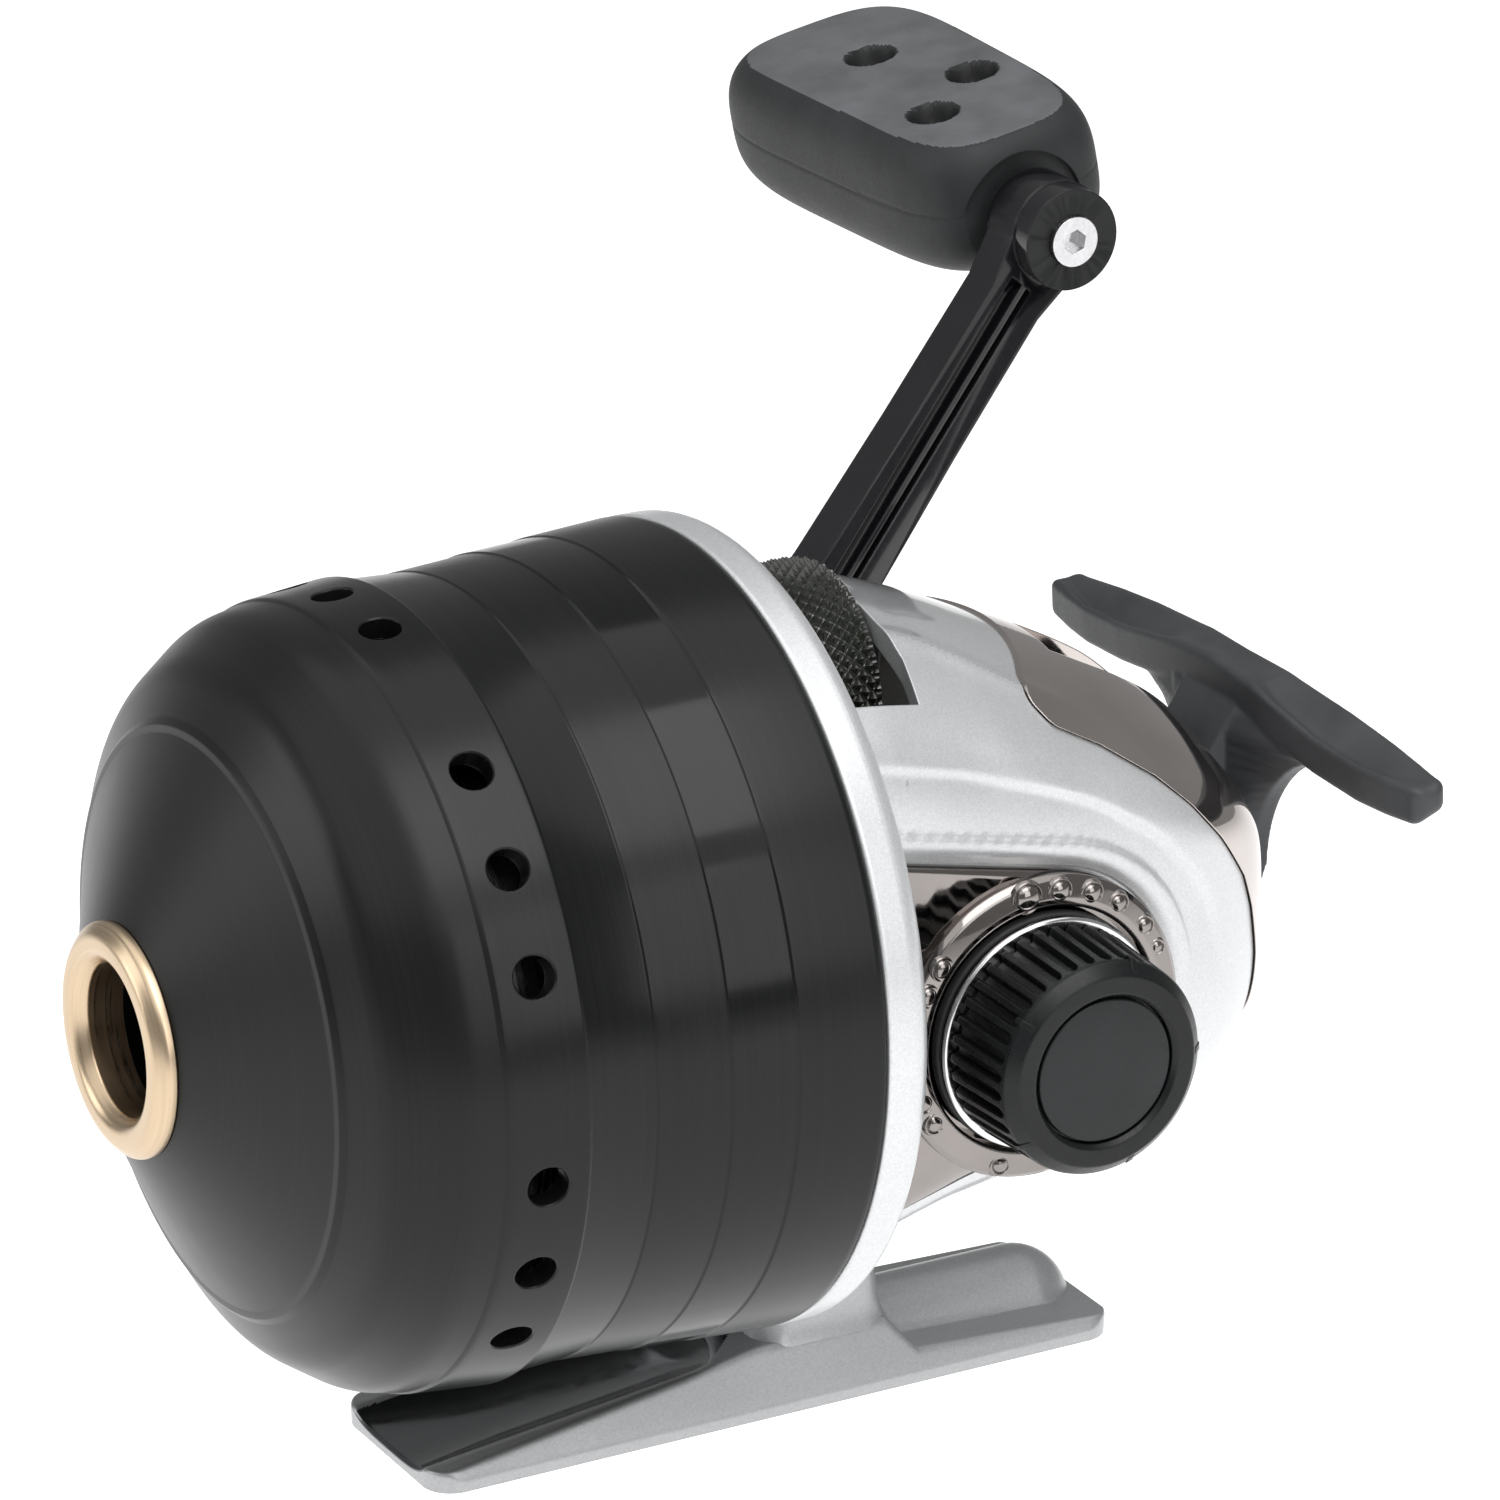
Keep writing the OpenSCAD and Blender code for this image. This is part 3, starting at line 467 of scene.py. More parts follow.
ALUMINIUM = polished("turned_aluminium", (0.66, 0.67, 0.68), 0.28, 3400)
DIECAST = polished("die_cast_metal", (0.36, 0.36, 0.37), 0.5)
GLOSS_BLACK = moulded("gloss_black_enamel", (0.006, 0.006, 0.0075), 0.18, 0.04, 900, 0.35, 0.35, 0.3)
SATIN_BLACK = moulded("satin_black", (0.010, 0.0105, 0.011), 0.4, 0.1, 3200, spec=0.25)
DIAL_BLACK = moulded("dial_plastic", (0.0060, 0.0066, 0.0070), 0.3, 0.05, 2400, 0.0, 0.14, 0.26)
LEVER_GREY = moulded("soft_touch_grey", (0.036, 0.038, 0.041), 0.46, 0.14, 4200, 0.0, 0.3)
PADDLE_RUBBER = moulded("paddle_rubber", (0.018, 0.019, 0.020), 0.55, 0.2, 3600, 0.0, 0.3, 0.3)
# A lighter copy of the paddle rubber for its up-facing lid: painted top light.
PADDLE_LIT_TOP = moulded("paddle_rubber_painted_top_light", (0.092, 0.096, 0.101), 0.6, 0.25, 3000, 0.0, 0.2, 0.3)
# A darker, smoother copy of the paddle rubber for the dimples: painted shade in the recesses, with a smoother
# finish.
PADDLE_PIT_SHADE = moulded("paddle_rubber_pit_shade", (0.012, 0.0125, 0.013), 0.5, 0.1, 3600, 0.0, 0.2, 0.25)
DARK_RUBBER = moulded("seal_rubber", (0.02, 0.02, 0.021), 0.6, 0.15, 3000)
DIAL_CAP = moulded("cap_plastic", (0.0080, 0.0095, 0.0100), 0.3, 0.03, 1800, 0.0, 0.1, 0.3)
# A darker copy of the silver paint for the foot, tone 0.6: painted shade against the strong floor light that
# falls on it.
FOOT_SILVER_SHADED = silver_paint("silver_foot_painted_shade", 0.0, 0.6)
KNURL_BLACK = moulded("knurl_black", (0.016, 0.018, 0.014), 0.22, 0.1, 3600, 0.5, 0.0, 0.6)
ACETAL = moulded("acetal", (0.62, 0.58, 0.46), 0.42, 0.06, 1800)
FIBRE = moulded("fibre_washer", (0.20, 0.15, 0.10), 0.7, 0.25, 2600)


def nylon_line():
    """Clear line: pale, a little translucent, with a wet-looking surface."""
    t = Nodes("nylon_line", (0.62, 0.66, 0.64), 0.22, 0.0, 0.6)
    streak = t.noise(1400, 3, 0.5, stretch=(1, 6, 1))
    tint = t.ramp(streak, "Fac", 0.3, 0.7, (0.50, 0.55, 0.53), (0.74, 0.78, 0.76))
    t.link(tint, "Color", t.shader, "Base Color")
    t.set(t.shader, "Subsurface Weight", 0.2)
    t.set(t.shader, "Subsurface Scale", 0.002)
    t.bump(streak, "Fac", 0.1, 0.05)
    return t.material


LINE = nylon_line()

CAD_LOOKS = (
    (SILVER, "body_deck"),
    (DARK_RUBBER, "cover_seal pinch_ring"),
    (ALUMINIUM, "spool_arbor spool rotor"),
    (FIBRE, "drag_washers"),
    (ACETAL, "drag_ring_gear"),
    (BRASS_GEAR, "rotor_nut pinion drive_gear"),
    (BRONZE, "left_bushing right_bushing"),
    (DIECAST, "pinion_bracket"),
    (SATIN_BLACK, "paddle_plug"),
    (STEEL_SPIN, "pickup_pin_left pickup_pin_right centre_shaft pinion_bearing paddle_spindle"),
    (STEEL, "spool_retainer thumbwheel_shaft pin_spring_left pin_spring_right shaft_return_spring"),
    (STEEL, "bracket_screws housing_screws crank_shaft anti_reverse_clutch spindle_retainer dial_post"),
    (STEEL, "lever_pivot_pin foot_screws"),
)
for look, cad_names in CAD_LOOKS:
    for cad_name in cad_names.split():
        cad_mesh = NODES[cad_name].data
        cad_mesh.materials.clear()
        cad_mesh.materials.append(look)

# ---------------------------------------------------------------- cover

HOLE_Y = -28.6
HOLE_R = 1.65
HOLE_TURNS = [math.radians(-7 + 60 * g + 15 * k) for g in range(6) for k in (-1, 0, 1)]

NOSE_INNER = (8.05, -48.8)
OUTER = rounded(
    [
        NOSE_INNER, (9.4, -48.78, 0.3), (22.9, -42.22, 0.5), (23.5, -42.1, 0.3), (24.0, -41.62, 0.4),
        (27.6, -39.7, 6.0), (30.9, -34.9, 6.0), (31.45, -32.1),
    ],
    closed=False,
    steps=10,
)
BAND_FRONT = [(31.62, -31.86), (31.68, -31.6)]
SKIRT = rounded(
    [
        (32.28, -25.6), (32.3, -25.3, 0.15), (31.95, -25.05, 0.12), (31.62, -19.3, 0.2), (31.72, -19.15, 0.1),
        (32.08, -13.1, 0.2), (32.2, -12.95, 0.1), (32.45, -7.5, 0.2), (32.58, -7.3, 0.1), (32.98, -0.5, 0.3),
        (32.95, 0.0, 0.2), (31.6, 0.0, 0.2), (31.6, -6.6), (30.3, -7.2), (30.25, -25.6),
    ],
    closed=False,
    steps=4,
)
INNER = [(30.2, -31.6), (29.6, -33.2), (28.3, -36.0), (26.3, -38.4), (23.2, -40.5), (8.05, -47.6)]

COVER_SEGS = 720
COVER_STEP = 2 * math.pi / COVER_SEGS
BAND_LOW, BAND_HIGH = -31.6, -25.6
BAND_ROWS = 8
HOLE_SPAN = 8  # cells of the band that a hole takes to each side
HOLE_LIP = 0.12


def band_radius(y, outer):
    """Radius of the hole band's outer or inner wall at y."""
    front, rear = (31.68, 32.28) if outer else (30.2, 30.25)
    return front + (rear - front) * (y - BAND_LOW) / (BAND_HIGH - BAND_LOW)


def on_band(a, y, outer):
    r = band_radius(y, outer)
    return (r * math.sin(a), y, r * math.cos(a))


def band_y(i):
    return BAND_LOW + (BAND_HIGH - BAND_LOW) * i / BAND_ROWS


def plain_band(centres):
    """The hole band's two walls, without the cells round each hole."""
    taken = {(c + k) % COVER_SEGS for c in centres for k in range(-HOLE_SPAN, HOLE_SPAN)}
    verts, faces = [], []
    for outer in (True, False):
        for k in range(COVER_SEGS):
            if k in taken:
                continue
            for i in range(BAND_ROWS):
                faces.append(tuple(range(len(verts), len(verts) + 4)))
                for corner_k, corner_i in ((k, i), (k + 1, i), (k + 1, i + 1), (k, i + 1)):
                    verts.append(on_band(corner_k * COVER_STEP, band_y(corner_i), outer))
    return verts, faces


def hole_edge(middle, size, radius, turns):
    """A circle of the given size on the band, as (angle about the spool axis, y)."""
    return [(middle[0] + size * math.cos(t) / radius, middle[1] + size * math.sin(t)) for t in turns]


def band_hole(c):
    """The band round one hole: from the border of its cells to a lipped edge, and through the wall."""
    ring = [(k, 0) for k in range(-HOLE_SPAN, HOLE_SPAN)] + [(HOLE_SPAN, i) for i in range(BAND_ROWS)]
    ring += [(k, BAND_ROWS) for k in range(HOLE_SPAN, -HOLE_SPAN, -1)]
    ring += [(-HOLE_SPAN, i) for i in range(BAND_ROWS, 0, -1)]
    border = [((c + k) * COVER_STEP, band_y(i)) for k, i in ring]
    count = len(border)
    verts, faces, ends = [], [], []
    for outer in (True, False):
        radius = band_radius(HOLE_Y, outer)
        turns = [math.atan2(y - HOLE_Y, (a - c * COVER_STEP) * radius) for a, y in border]
        middle = (c * COVER_STEP, HOLE_Y)
        edge = hole_edge(middle, HOLE_R + (HOLE_LIP if outer else 0.0), radius, turns)
        layers = [[on_band(a, y, outer) for a, y in border]]
        for f in (0.35, 0.65, 0.86, 1.0):
            between = [(a + (to_a - a) * f, y + (to_y - y) * f) for (a, y), (to_a, to_y) in zip(border, edge)]
            layers.append([on_band(a, y, outer) for a, y in between])
        if outer:
            shrink = 1 - HOLE_LIP / radius
            lip = [on_band(a, y, True) for a, y in hole_edge(middle, HOLE_R, radius, turns)]
            layers.append([(x * shrink, y, z * shrink) for x, y, z in lip])
        faces += bands(len(layers), count, len(verts))
        verts += [v for layer in layers for v in layer]
        ends.append(len(verts) - count)
    return verts, faces + bridge(*ends, count)


def cover_mesh():
    """The cover, with its drain holes worked into the band's own mesh."""
    centres = [round(a / COVER_STEP) % COVER_SEGS for a in HOLE_TURNS]
    walls = [lathe(line, COVER_SEGS, False) for line in (OUTER + BAND_FRONT, SKIRT, INNER + [NOSE_INNER])]
    return joined(walls + [plain_band(centres)] + [band_hole(c) for c in centres])


piece("cover_shell", cover_mesh(), BLACK_COVER, "cover", ["front_cover"], angle=24)

ring_profile = rounded(
    [
        (6.1, -46.3), (6.1, -49.4, 0.5), (7.0, -50.55, 1.2), (8.4, -50.5, 1.0), (9.4, -49.6, 0.8),
        (9.4, -48.8, 0.15), (8.0, -48.8), (8.0, -46.3),
    ],
    steps=8,
)
piece("nose_ring", lathe(ring_profile, 180), BRASS, "cover", ["line_guide_ring"])

# ---------------------------------------------------------------- gear housing

# the housing's side view (y, z), plan (x, y) and the dome that rounds it off (radius, y)
SIDE = [
    (3.4, 30.9), (6, 29.9), (10, 28.8), (14, 27.3), (17, 25.9), (20.3, 24.4), (24.5, 22.5), (29.2, 20.3),
    (33, 18.4), (37.3, 16.1), (40.5, 14), (43.4, 11.2), (46, 7.5), (48.2, 3), (49.8, -2), (50.7, -7),
    (50.6, -11.5), (49.6, -15.5), (47.6, -19), (44.6, -21.6), (40.5, -23.4), (34, -24.9),
    (27.7, -26), (14.5, -27.8), (3.4, -29.3),
]
PLAN = [
    (21.6, 0), (21.6, 15), (21.6, 26), (21.5, 30), (21, 33.5), (19.8, 37), (17.9, 40.6), (15.2, 44),
    (11.6, 47.2), (7, 49.6), (2.5, 50.8), (0, 51.0),
]
DOME = [
    (31.5, 0), (29.2, 3.5), (28.2, 8), (27.2, 12), (26.3, 16), (25.7, 20), (25.1, 24), (24.2, 29), (23.2, 34),
    (21.8, 39), (19.6, 43.5), (16, 47.8), (10, 51.2), (4, 52.6), (0, 52.8),
]
HEART = 24.0  # y of the middle that the housing's form is measured from
CROWN_RADIUS = 24.0
HOUSING_FRONT = 3.0


def smooth_line(points, n):
    """Catmull-Rom points through an open list."""
    pts = np.array(points, float)
    ext = np.vstack([2 * pts[0] - pts[1], pts, 2 * pts[-1] - pts[-2]])
    out = []
    for i in range(len(pts) - 1):
        a, b, c, d = ext[i : i + 4]
        for k in range(n):
            t = k / n
            square, cube = (2 * a - 5 * b + 4 * c - d) * t**2, (3 * b - a - 3 * c + d) * t**3
            out.append(0.5 * (2 * b + (c - a) * t + square + cube))
    out.append(pts[-1])
    return np.array(out)


def reach_table(outline):
    """Distance from the heart to an outline of (y, height) points, as sorted angles and lengths."""
    points = smooth_line(outline, 8) - np.array([HEART, 0.0])
    angle = np.arctan2(points[:, 1], points[:, 0])
    order = np.argsort(angle)
    return angle[order], np.hypot(points[:, 0], points[:, 1])[order]


SIDE_REACH = reach_table(SIDE)
PLAN_REACH = reach_table([(y, x) for x, y in PLAN])
DOME_REACH = reach_table([(y, r) for r, y in DOME])


def soft_min(a, b, k):
    """The smaller of two heights, blended over a width k where they meet."""
    return np.minimum(a, b) - np.maximum(k - np.abs(a - b), 0) ** 2 / (4 * k)


def step_up(v, lo, hi):
    """0 below lo, 1 above hi and a smooth rise between."""
    t = np.clip((v - lo) / (hi - lo), 0, 1)
    return t * t * (3 - 2 * t)


def housing_reach(dx, dy, dz):
    """How far the housing's plain form reaches from its heart in a direction."""
    bow = 0.0 * dx
    for _ in range(3):
        slant = dz + np.sign(dz) * bow
        flat = np.maximum(np.hypot(dy, slant), 1e-9)
        t_side = np.interp(np.arctan2(slant, dy), *SIDE_REACH) / flat
        bow = dx**2 * t_side / (2 * CROWN_RADIUS) * step_up(dz, 0.0, 0.35)
    flat = np.maximum(np.hypot(dx, dy), 1e-9)
    t_plan = np.interp(np.arctan2(np.abs(dx), dy), *PLAN_REACH) / flat
    flat = np.maximum(np.hypot(np.hypot(dx, dz), dy), 1e-9)
    t_dome = np.interp(np.arctan2(np.hypot(dx, dz), dy), *DOME_REACH) / flat
    return soft_min(soft_min(t_side, t_dome, 2.2), t_plan, 3.6)


PLATE_R = 12.9
PLATE_FRONT = 4.7
PLATE_RISE = math.radians(12.4)
PLATE_FALL = math.radians(9.1)


def plate_outline(grow=0.0, steps=60):
    """Outline of a side plate in (y, z)."""
    r = PLATE_R + grow
    front = PLATE_FRONT - grow
    out = []
    start, stop = math.pi / 2 - PLATE_RISE, PLATE_FALL - math.pi / 2
    for k in range(steps + 1):
        a = start + (stop - start) * k / steps
        out.append((CRANK[0] + r * math.cos(a), CRANK[1] + r * math.sin(a)))
    gap = CRANK[0] - front
    out.append((front, CRANK[1] - (r + gap * math.sin(PLATE_FALL)) / math.cos(PLATE_FALL)))
    out.append((front, CRANK[1] + (r + gap * math.sin(PLATE_RISE)) / math.cos(PLATE_RISE)))
    return out


def plate_distance(y, z):
    """Signed distance from the side plate's outline, positive outside; its front edge is left open."""
    dy, dz = y - CRANK[0], z - CRANK[1]
    round_part = np.hypot(dy, dz) - PLATE_R
    top = dy * math.sin(PLATE_RISE) + dz * math.cos(PLATE_RISE) - PLATE_R
    low = dy * math.sin(PLATE_FALL) - dz * math.cos(PLATE_FALL) - PLATE_R
    ahead_top = dy * math.cos(PLATE_RISE) - dz * math.sin(PLATE_RISE) < 0
    ahead_low = dy * math.cos(PLATE_FALL) + dz * math.sin(PLATE_FALL) < 0
    upper = np.where(ahead_top, top, round_part)
    lower = np.where(ahead_low, low, round_part)
    return np.where(dz > 0, upper, lower)


def crown_half(y):
    """Half the width of the polished facet along the housing's crown."""
    return np.interp(y, [13.7, 16.4, 23.2, 28.0], [9.2, 9.5, 12.2, 12.9])


PANEL_DEPTH = 0.42


def relief(p):
    """Raised lip round the side plates, the recessed side band and the dished crown, in mm."""
    x, y, z = p[..., 0], p[..., 1], p[..., 2]
    s = plate_distance(y, z)
    side = step_up(np.abs(x), 13.5, 16.5)
    edge = np.interp(y, [4, 14, 22, 29, 34, 38, 44], [7.7, 7.3, 6.2, 4.9, 4.9, 5.6, 6.6])
    above = step_up(z - CRANK[1] - 0.35 * (y - CRANK[0]), -8, 2)
    band = -PANEL_DEPTH * (1 - step_up(s, edge - 0.45, edge + 0.45)) * above
    lip = PANEL_DEPTH * (1 - step_up(s, 2.15, 2.6)) * above
    drop = -0.75 * (1 - step_up(s, 0.0, 2.0)) ** 2
    crease = 0.22 * np.exp(-(((np.abs(x) - crown_half(y)) / 1.3) ** 2))
    return side * (band + lip + drop) + crease * step_up(z, 8, 16) * (1 - step_up(y, 25, 31))


def housing_grid(turns, levels, offset):
    """Points of the housing's skin, moved out by offset and ending at its front."""
    a = np.linspace(0, 2 * math.pi, turns, endpoint=False)
    lo, hi = np.full(turns, math.radians(60)), np.full(turns, math.radians(150))
    for _ in range(40):
        mid = (lo + hi) / 2
        dy = np.cos(mid)
        reach = housing_reach(np.sin(mid) * np.sin(a), dy, np.sin(mid) * np.cos(a))
        behind = HEART + dy * reach > HOUSING_FRONT
        lo, hi = np.where(behind, mid, lo), np.where(behind, hi, mid)
    steps = np.linspace(0, 1, levels)[:, None]
    phi = 0.02 + (lo[None, :] - 0.02) * steps
    dx, dy, dz = np.sin(phi) * np.sin(a), np.cos(phi), np.sin(phi) * np.cos(a)
    t = housing_reach(dx, dy, dz)
    p = np.stack([dx * t, HEART + dy * t, dz * t], axis=-1)
    du = np.roll(p, -1, axis=1) - np.roll(p, 1, axis=1)
    dv = np.gradient(p, axis=0)
    n = np.cross(du, dv)
    n /= np.maximum(np.linalg.norm(n, axis=-1, keepdims=True), 1e-9)
    n *= np.sign(np.sum(n * (p - np.array([0, HEART, 0])), axis=-1, keepdims=True))
    shift = offset + (relief(p) if offset > -0.5 else 0 * p[..., 0])
    p += n * shift[..., None]
    p[..., 1] += np.clip(steps * 10 - 9, 0, 1) * (HOUSING_FRONT - p[-1, :, 1])
    return p


def housing_solid(name, outer, inner, turns=540, levels=230):
    """A closed shell between two offsets of the housing's form, cut off at the front."""
    walls = [housing_grid(turns, levels, offset).reshape(-1, 3) for offset in (outer, inner)]
    verts = [tuple(v) for wall in walls for v in wall]
    inside = levels * turns
    faces = bands(levels, turns)
    for i in range(levels - 1):
        faces += bridge(inside + (i + 1) * turns, inside + i * turns, turns)
    faces += bridge(inside - turns, 2 * inside - turns, turns)
    faces.append(tuple(range(turns)))
    faces.append(tuple(range(inside + turns - 1, inside - 1, -1)))
    return new_object(name, verts, faces, 0)


TRIM_EDGE = [
    (34, 30), (28.3, 21.6), (25.9, 20.65, 1.0), (23.4, 19.8, 0.9), (24.7, 17.7, 2.0), (28.6, 15.6),
    (32.8, 12.7), (35.8, 9.9), (38.8, 6.5), (42.4, 1.7), (44.1, -1.8), (45.8, -7), (46.8, -14),
    (60, -14), (60, 30),
]
TRIM_HALF = 28


def trim_block(name, grow):
    """The space behind the trim's edge, made larger forward and down by grow."""
    edge = [(y - (grow if y < 50 else 0), z - (grow if z < 0 else 0), *corner) for y, z, *corner in TRIM_EDGE]
    half = TRIM_HALF + grow
    return new_object(name, *prism(rounded(edge), -half, half))


def slot_block(name):
    """The lever's slot: narrow on top, wider behind."""
    outline = rounded(
        [
            (-4.8, 70), (-4.8, 8.2, 0.4), (-6.6, 8.0, 0.4), (-6.6, -9.5, 1.5),
            (6.6, -9.5, 1.5), (6.6, 8.0, 0.4), (4.8, 8.2, 0.4), (4.8, 70),
        ]
    )
    return new_object(name, *prism(outline, 31.0, 70, "y"))


def wheel_slot(name):
    """The thumbwheel's opening: two radial faces, and a plan with round rear corners."""
    half = math.radians(36.5)
    fan = [(r * math.sin(s * half), r * math.cos(half)) for r, s in ((9, -1), (40, -1), (40, 1), (9, 1))]
    slot = new_object(name, *prism(fan, -5, 13.35, "y"))
    corners = [(-18, -6), (18, -6), (18, 11.9), (11.5, 13.4, 6.0), (-11.5, 13.4, 6.0), (-18, 11.9)]
    combine(slot, new_object("tool_plan", *prism(rounded(corners, steps=8), 5, 45, "z")), "INTERSECT")
    return slot


housing = housing_solid("housing_shell", 0.0, -1.8)
combine(housing, wheel_slot("tool_wheel"))
seat = housing_solid("tool_seat", 2.0, -0.95, 270, 120)
combine(seat, trim_block("tool_trim", 0.1), "INTERSECT")
combine(housing, seat)
combine(housing, slot_block("tool_slot"))
for sign in (-1, 1):
    lo, hi = sorted((sign * 14, sign * 26))
    combine(housing, new_object("tool_window", *prism(plate_outline(-1.6), lo, hi)))
    lo, hi = sorted((sign * 20.35, sign * 26))
    combine(housing, new_object("tool_ledge", *prism(plate_outline(0.14), lo, hi)))
done(housing, SILVER, "frame", ["gear_housing"], angle=26)
repaint(housing, [SILVER_SHINE], lambda x, y, z, _: int(z > 12 and 13.6 < y < 28 and abs(x) < crown_half(y)))

trim = housing_solid("rear_trim_skin", 0.25, -0.9)
combine(trim, trim_block("tool_trim", 0.0), "INTERSECT")
combine(trim, slot_block("tool_slot"))
done(trim, TRIM_CHROME, "frame", ["rear_trim"], angle=26)

# internal webs of the housing that show through its slots
web_parts = [
    prism([(-3.2, 15.8), (3.2, 15.8), (3.2, 23.6), (-3.2, 23.6)], 13.9, 16.4, "y"),
    prism([(-19.5, -5), (19.5, -5), (19.5, 5), (-19.5, 5)], 35.3, 36.7, "y"),
]
for index, (verts, faces) in enumerate(web_parts):
    web = new_object("housing_web_%d" % index, verts, faces)
    bevel(web, 0.4, 3)
    done(web, SILVER, "frame", slot="gear_housing")

# ---------------------------------------------------------------- side plates


def skin_x(y, z):
    """How far out the housing's plain form lies at (y, z)."""
    lo, hi = np.full(np.shape(y), 4.0), np.full(np.shape(y), 24.0)
    for _ in range(30):
        mid = (lo + hi) / 2
        length = np.sqrt(mid**2 + (y - HEART) ** 2 + z**2)
        inside = length < housing_reach(mid / length, (y - HEART) / length, z / length)
        lo, hi = np.where(inside, mid, lo), np.where(inside, hi, mid)
    return lo


PLATE_THICK = 1.2
PLATE_ROLL = 0.7
PLATE_SINK = 0.28
PLATE_FACE_X = 21.85


def plate_mesh(sign, rings=46):
    """A side plate: a thin pressing that follows the housing, with a rolled edge."""
    steps = 60
    outline = [(*p, 1.1) if i > steps else p for i, p in enumerate(plate_outline(-0.16, steps))]
    edge = np.array(rounded(outline, steps=6))
    dense = []
    for i in range(len(edge)):
        a, b = edge[i], edge[(i + 1) % len(edge)]
        n = max(1, int(np.hypot(*(b - a)) / 0.5))
        dense += [a + (b - a) * k / n for k in range(n)]
    edge = np.array(dense)
    centre = np.array(CRANK)
    fractions = 1 - np.linspace(0, 1, rings) ** 2.2 * 0.93
    count = len(edge)
    verts = []
    for back in (0.0, PLATE_THICK):
        for f in fractions:
            pts = centre + (edge - centre) * f
            inset = (1 - f) * np.hypot(*(edge - centre).T)
            roll = np.clip(1 - inset / PLATE_ROLL, 0, 1)
            face_x = np.minimum(skin_x(pts[:, 0], pts[:, 1]) - PLATE_SINK, PLATE_FACE_X)
            x = face_x - PLATE_ROLL * (1 - np.sqrt(1 - roll**2)) - back
            verts += [(sign * h, q[0], q[1]) for h, q in zip(x, pts)]
    inside = rings * count
    faces = bands(rings, count)
    for i in range(rings - 1):
        faces += bridge(inside + (i + 1) * count, inside + i * count, count)
    faces += bridge(inside, 0, count) + bridge(inside - count, 2 * inside - count, count)
    return verts, faces


def dome(centre, radius, height, base, turns=28, rows=8):
    """A low bead standing along X on a base plane."""
    verts = []
    for i in range(rows + 1):
        a = math.pi / 2 * i / rows
        for k in range(turns):
            t = 2 * math.pi * k / turns
            r = radius * math.cos(a)
            x = base + height * math.sin(a)
            verts.append((x, centre[0] + r * math.cos(t), centre[1] + r * math.sin(t)))
    return verts, bands(rows + 1, turns) + [tuple(range(turns - 1, -1, -1))]


BEZEL = rounded(
    [
        (10.25, 20.6), (10.25, 22.3, 0.15), (10.5, 22.6, 0.2), (11.0, 22.62, 0.4), (12.35, 22.3, 0.35),
        (12.78, 21.85, 0.2), (12.78, 20.6),
    ],
    steps=5,
)
BEAD_RING = 11.55
BEAD_TURNS = (8, -7, -22, -36, -53, -65, 161, 122, 111, 65, 53)
BEAD_SIZES = (1.12, 0.86, 0.82, 0.72, 0.68, 0.5, 0.7, 0.7, 0.74, 0.74, 0.78)

for sign, side in ((1, "right"), (-1, "left")):
    node = "side_plate_" + side
    piece(node + "_skin", plate_mesh(sign), SMOKED, "frame", [node], angle=30)
    piece(node + "_bezel", turned(BEZEL, 240, sign=sign), SMOKED, "frame", slot=node)

beads, grooves = [], []
for turn, size in zip(BEAD_TURNS, BEAD_SIZES):
    a = math.radians(turn)
    spot = (CRANK[0] - BEAD_RING * math.sin(a), CRANK[1] + BEAD_RING * math.cos(a))
    beads.append(dome(spot, size, 0.62 * size, 22.4))
    collar = [(size + 0.02, 22.2), (size + 0.02, 22.5), (size + 0.2, 22.62, 0.08), (size + 0.38, 22.2)]
    grooves.append(turned(rounded(collar, steps=4), 40, spot))
piece("scale_beads", joined(beads + grooves), SMOKED, "frame", slot="side_plate_right")

for side, lo, radius, sign in (("right", 13.6, 6.2, 1), ("left", 9.0, 8.6, -1)):
    profile = rounded([(4.52, lo), (4.52, 18.9), (radius, 18.9), (radius, lo, 0.4)])
    boss = turned(profile, 96, sign=sign)
    piece("bearing_boss_" + side, boss, SMOKED, "frame", slot="side_plate_" + side)

# ---------------------------------------------------------------- side dial

RIBS = 36
RIB_STEPS = 18
GROOVE_HALF = 0.5
GROOVE_DEPTH = 0.7
GROOVE_END = 30.25


def dial_profile():
    """Bore, ribbed wall and the rounded lip round the cap, as (r, x)."""
    wall = [(3.08, 31.0), (3.08, 23.82), (8.4, 23.82), (9.1, 23.85)]
    wall += [(9.28 - 0.045 * (h - 24), h) for h in np.linspace(24.0, 31.1, 66)]
    lip = [(8.94, 31.14), (8.86, 31.4, 0.25), (7.95, 32.28, 0.35), (6.5, 32.3, 0.2), (6.17, 31.9)]
    return wall + rounded(lip, False, 6) + [(6.17, 31.2)]


def ribbed(r, h, a):
    """Narrow round-ended grooves between flat lands."""
    if 23.83 < h < 31.12:
        pitch = 2 * math.pi / RIBS
        u = ((a / pitch) % 1 - 0.5) * pitch * r
        end = GROOVE_END + math.sqrt(max(GROOVE_HALF**2 - u * u, 0)) * 1.6
        if abs(u) < GROOVE_HALF and h < end:
            return r - GROOVE_DEPTH * min(1, (GROOVE_HALF - abs(u)) / 0.16) * min(1, (end - h) / 0.25)
    return r


dial = turned(dial_profile(), RIBS * RIB_STEPS, shape=ribbed)
piece("dial_skin", dial, DIAL_BLACK, "dial", ["side_dial"], angle=24)
tabs = []
for k in range(5):
    a = math.radians(90 - 72 * k)
    ca, sa = math.cos(a), math.sin(a)
    block = [(8.1, 32.18), (8.72, 31.62), (9.05, 31.3), (9.2, 30.75), (9.05, 30.45), (8.3, 30.45)]
    outline = rounded([(*q, 0.08) for q in block], steps=3)
    slab, faces = prism(outline, -0.26, 0.26, "z")
    tabs.append(([(h, CRANK[0] + r * sa + w * ca, CRANK[1] + r * ca - w * sa) for r, h, w in slab], faces))
piece("dial_tabs", joined(tabs), DIAL_BLACK, "dial", slot="side_dial")

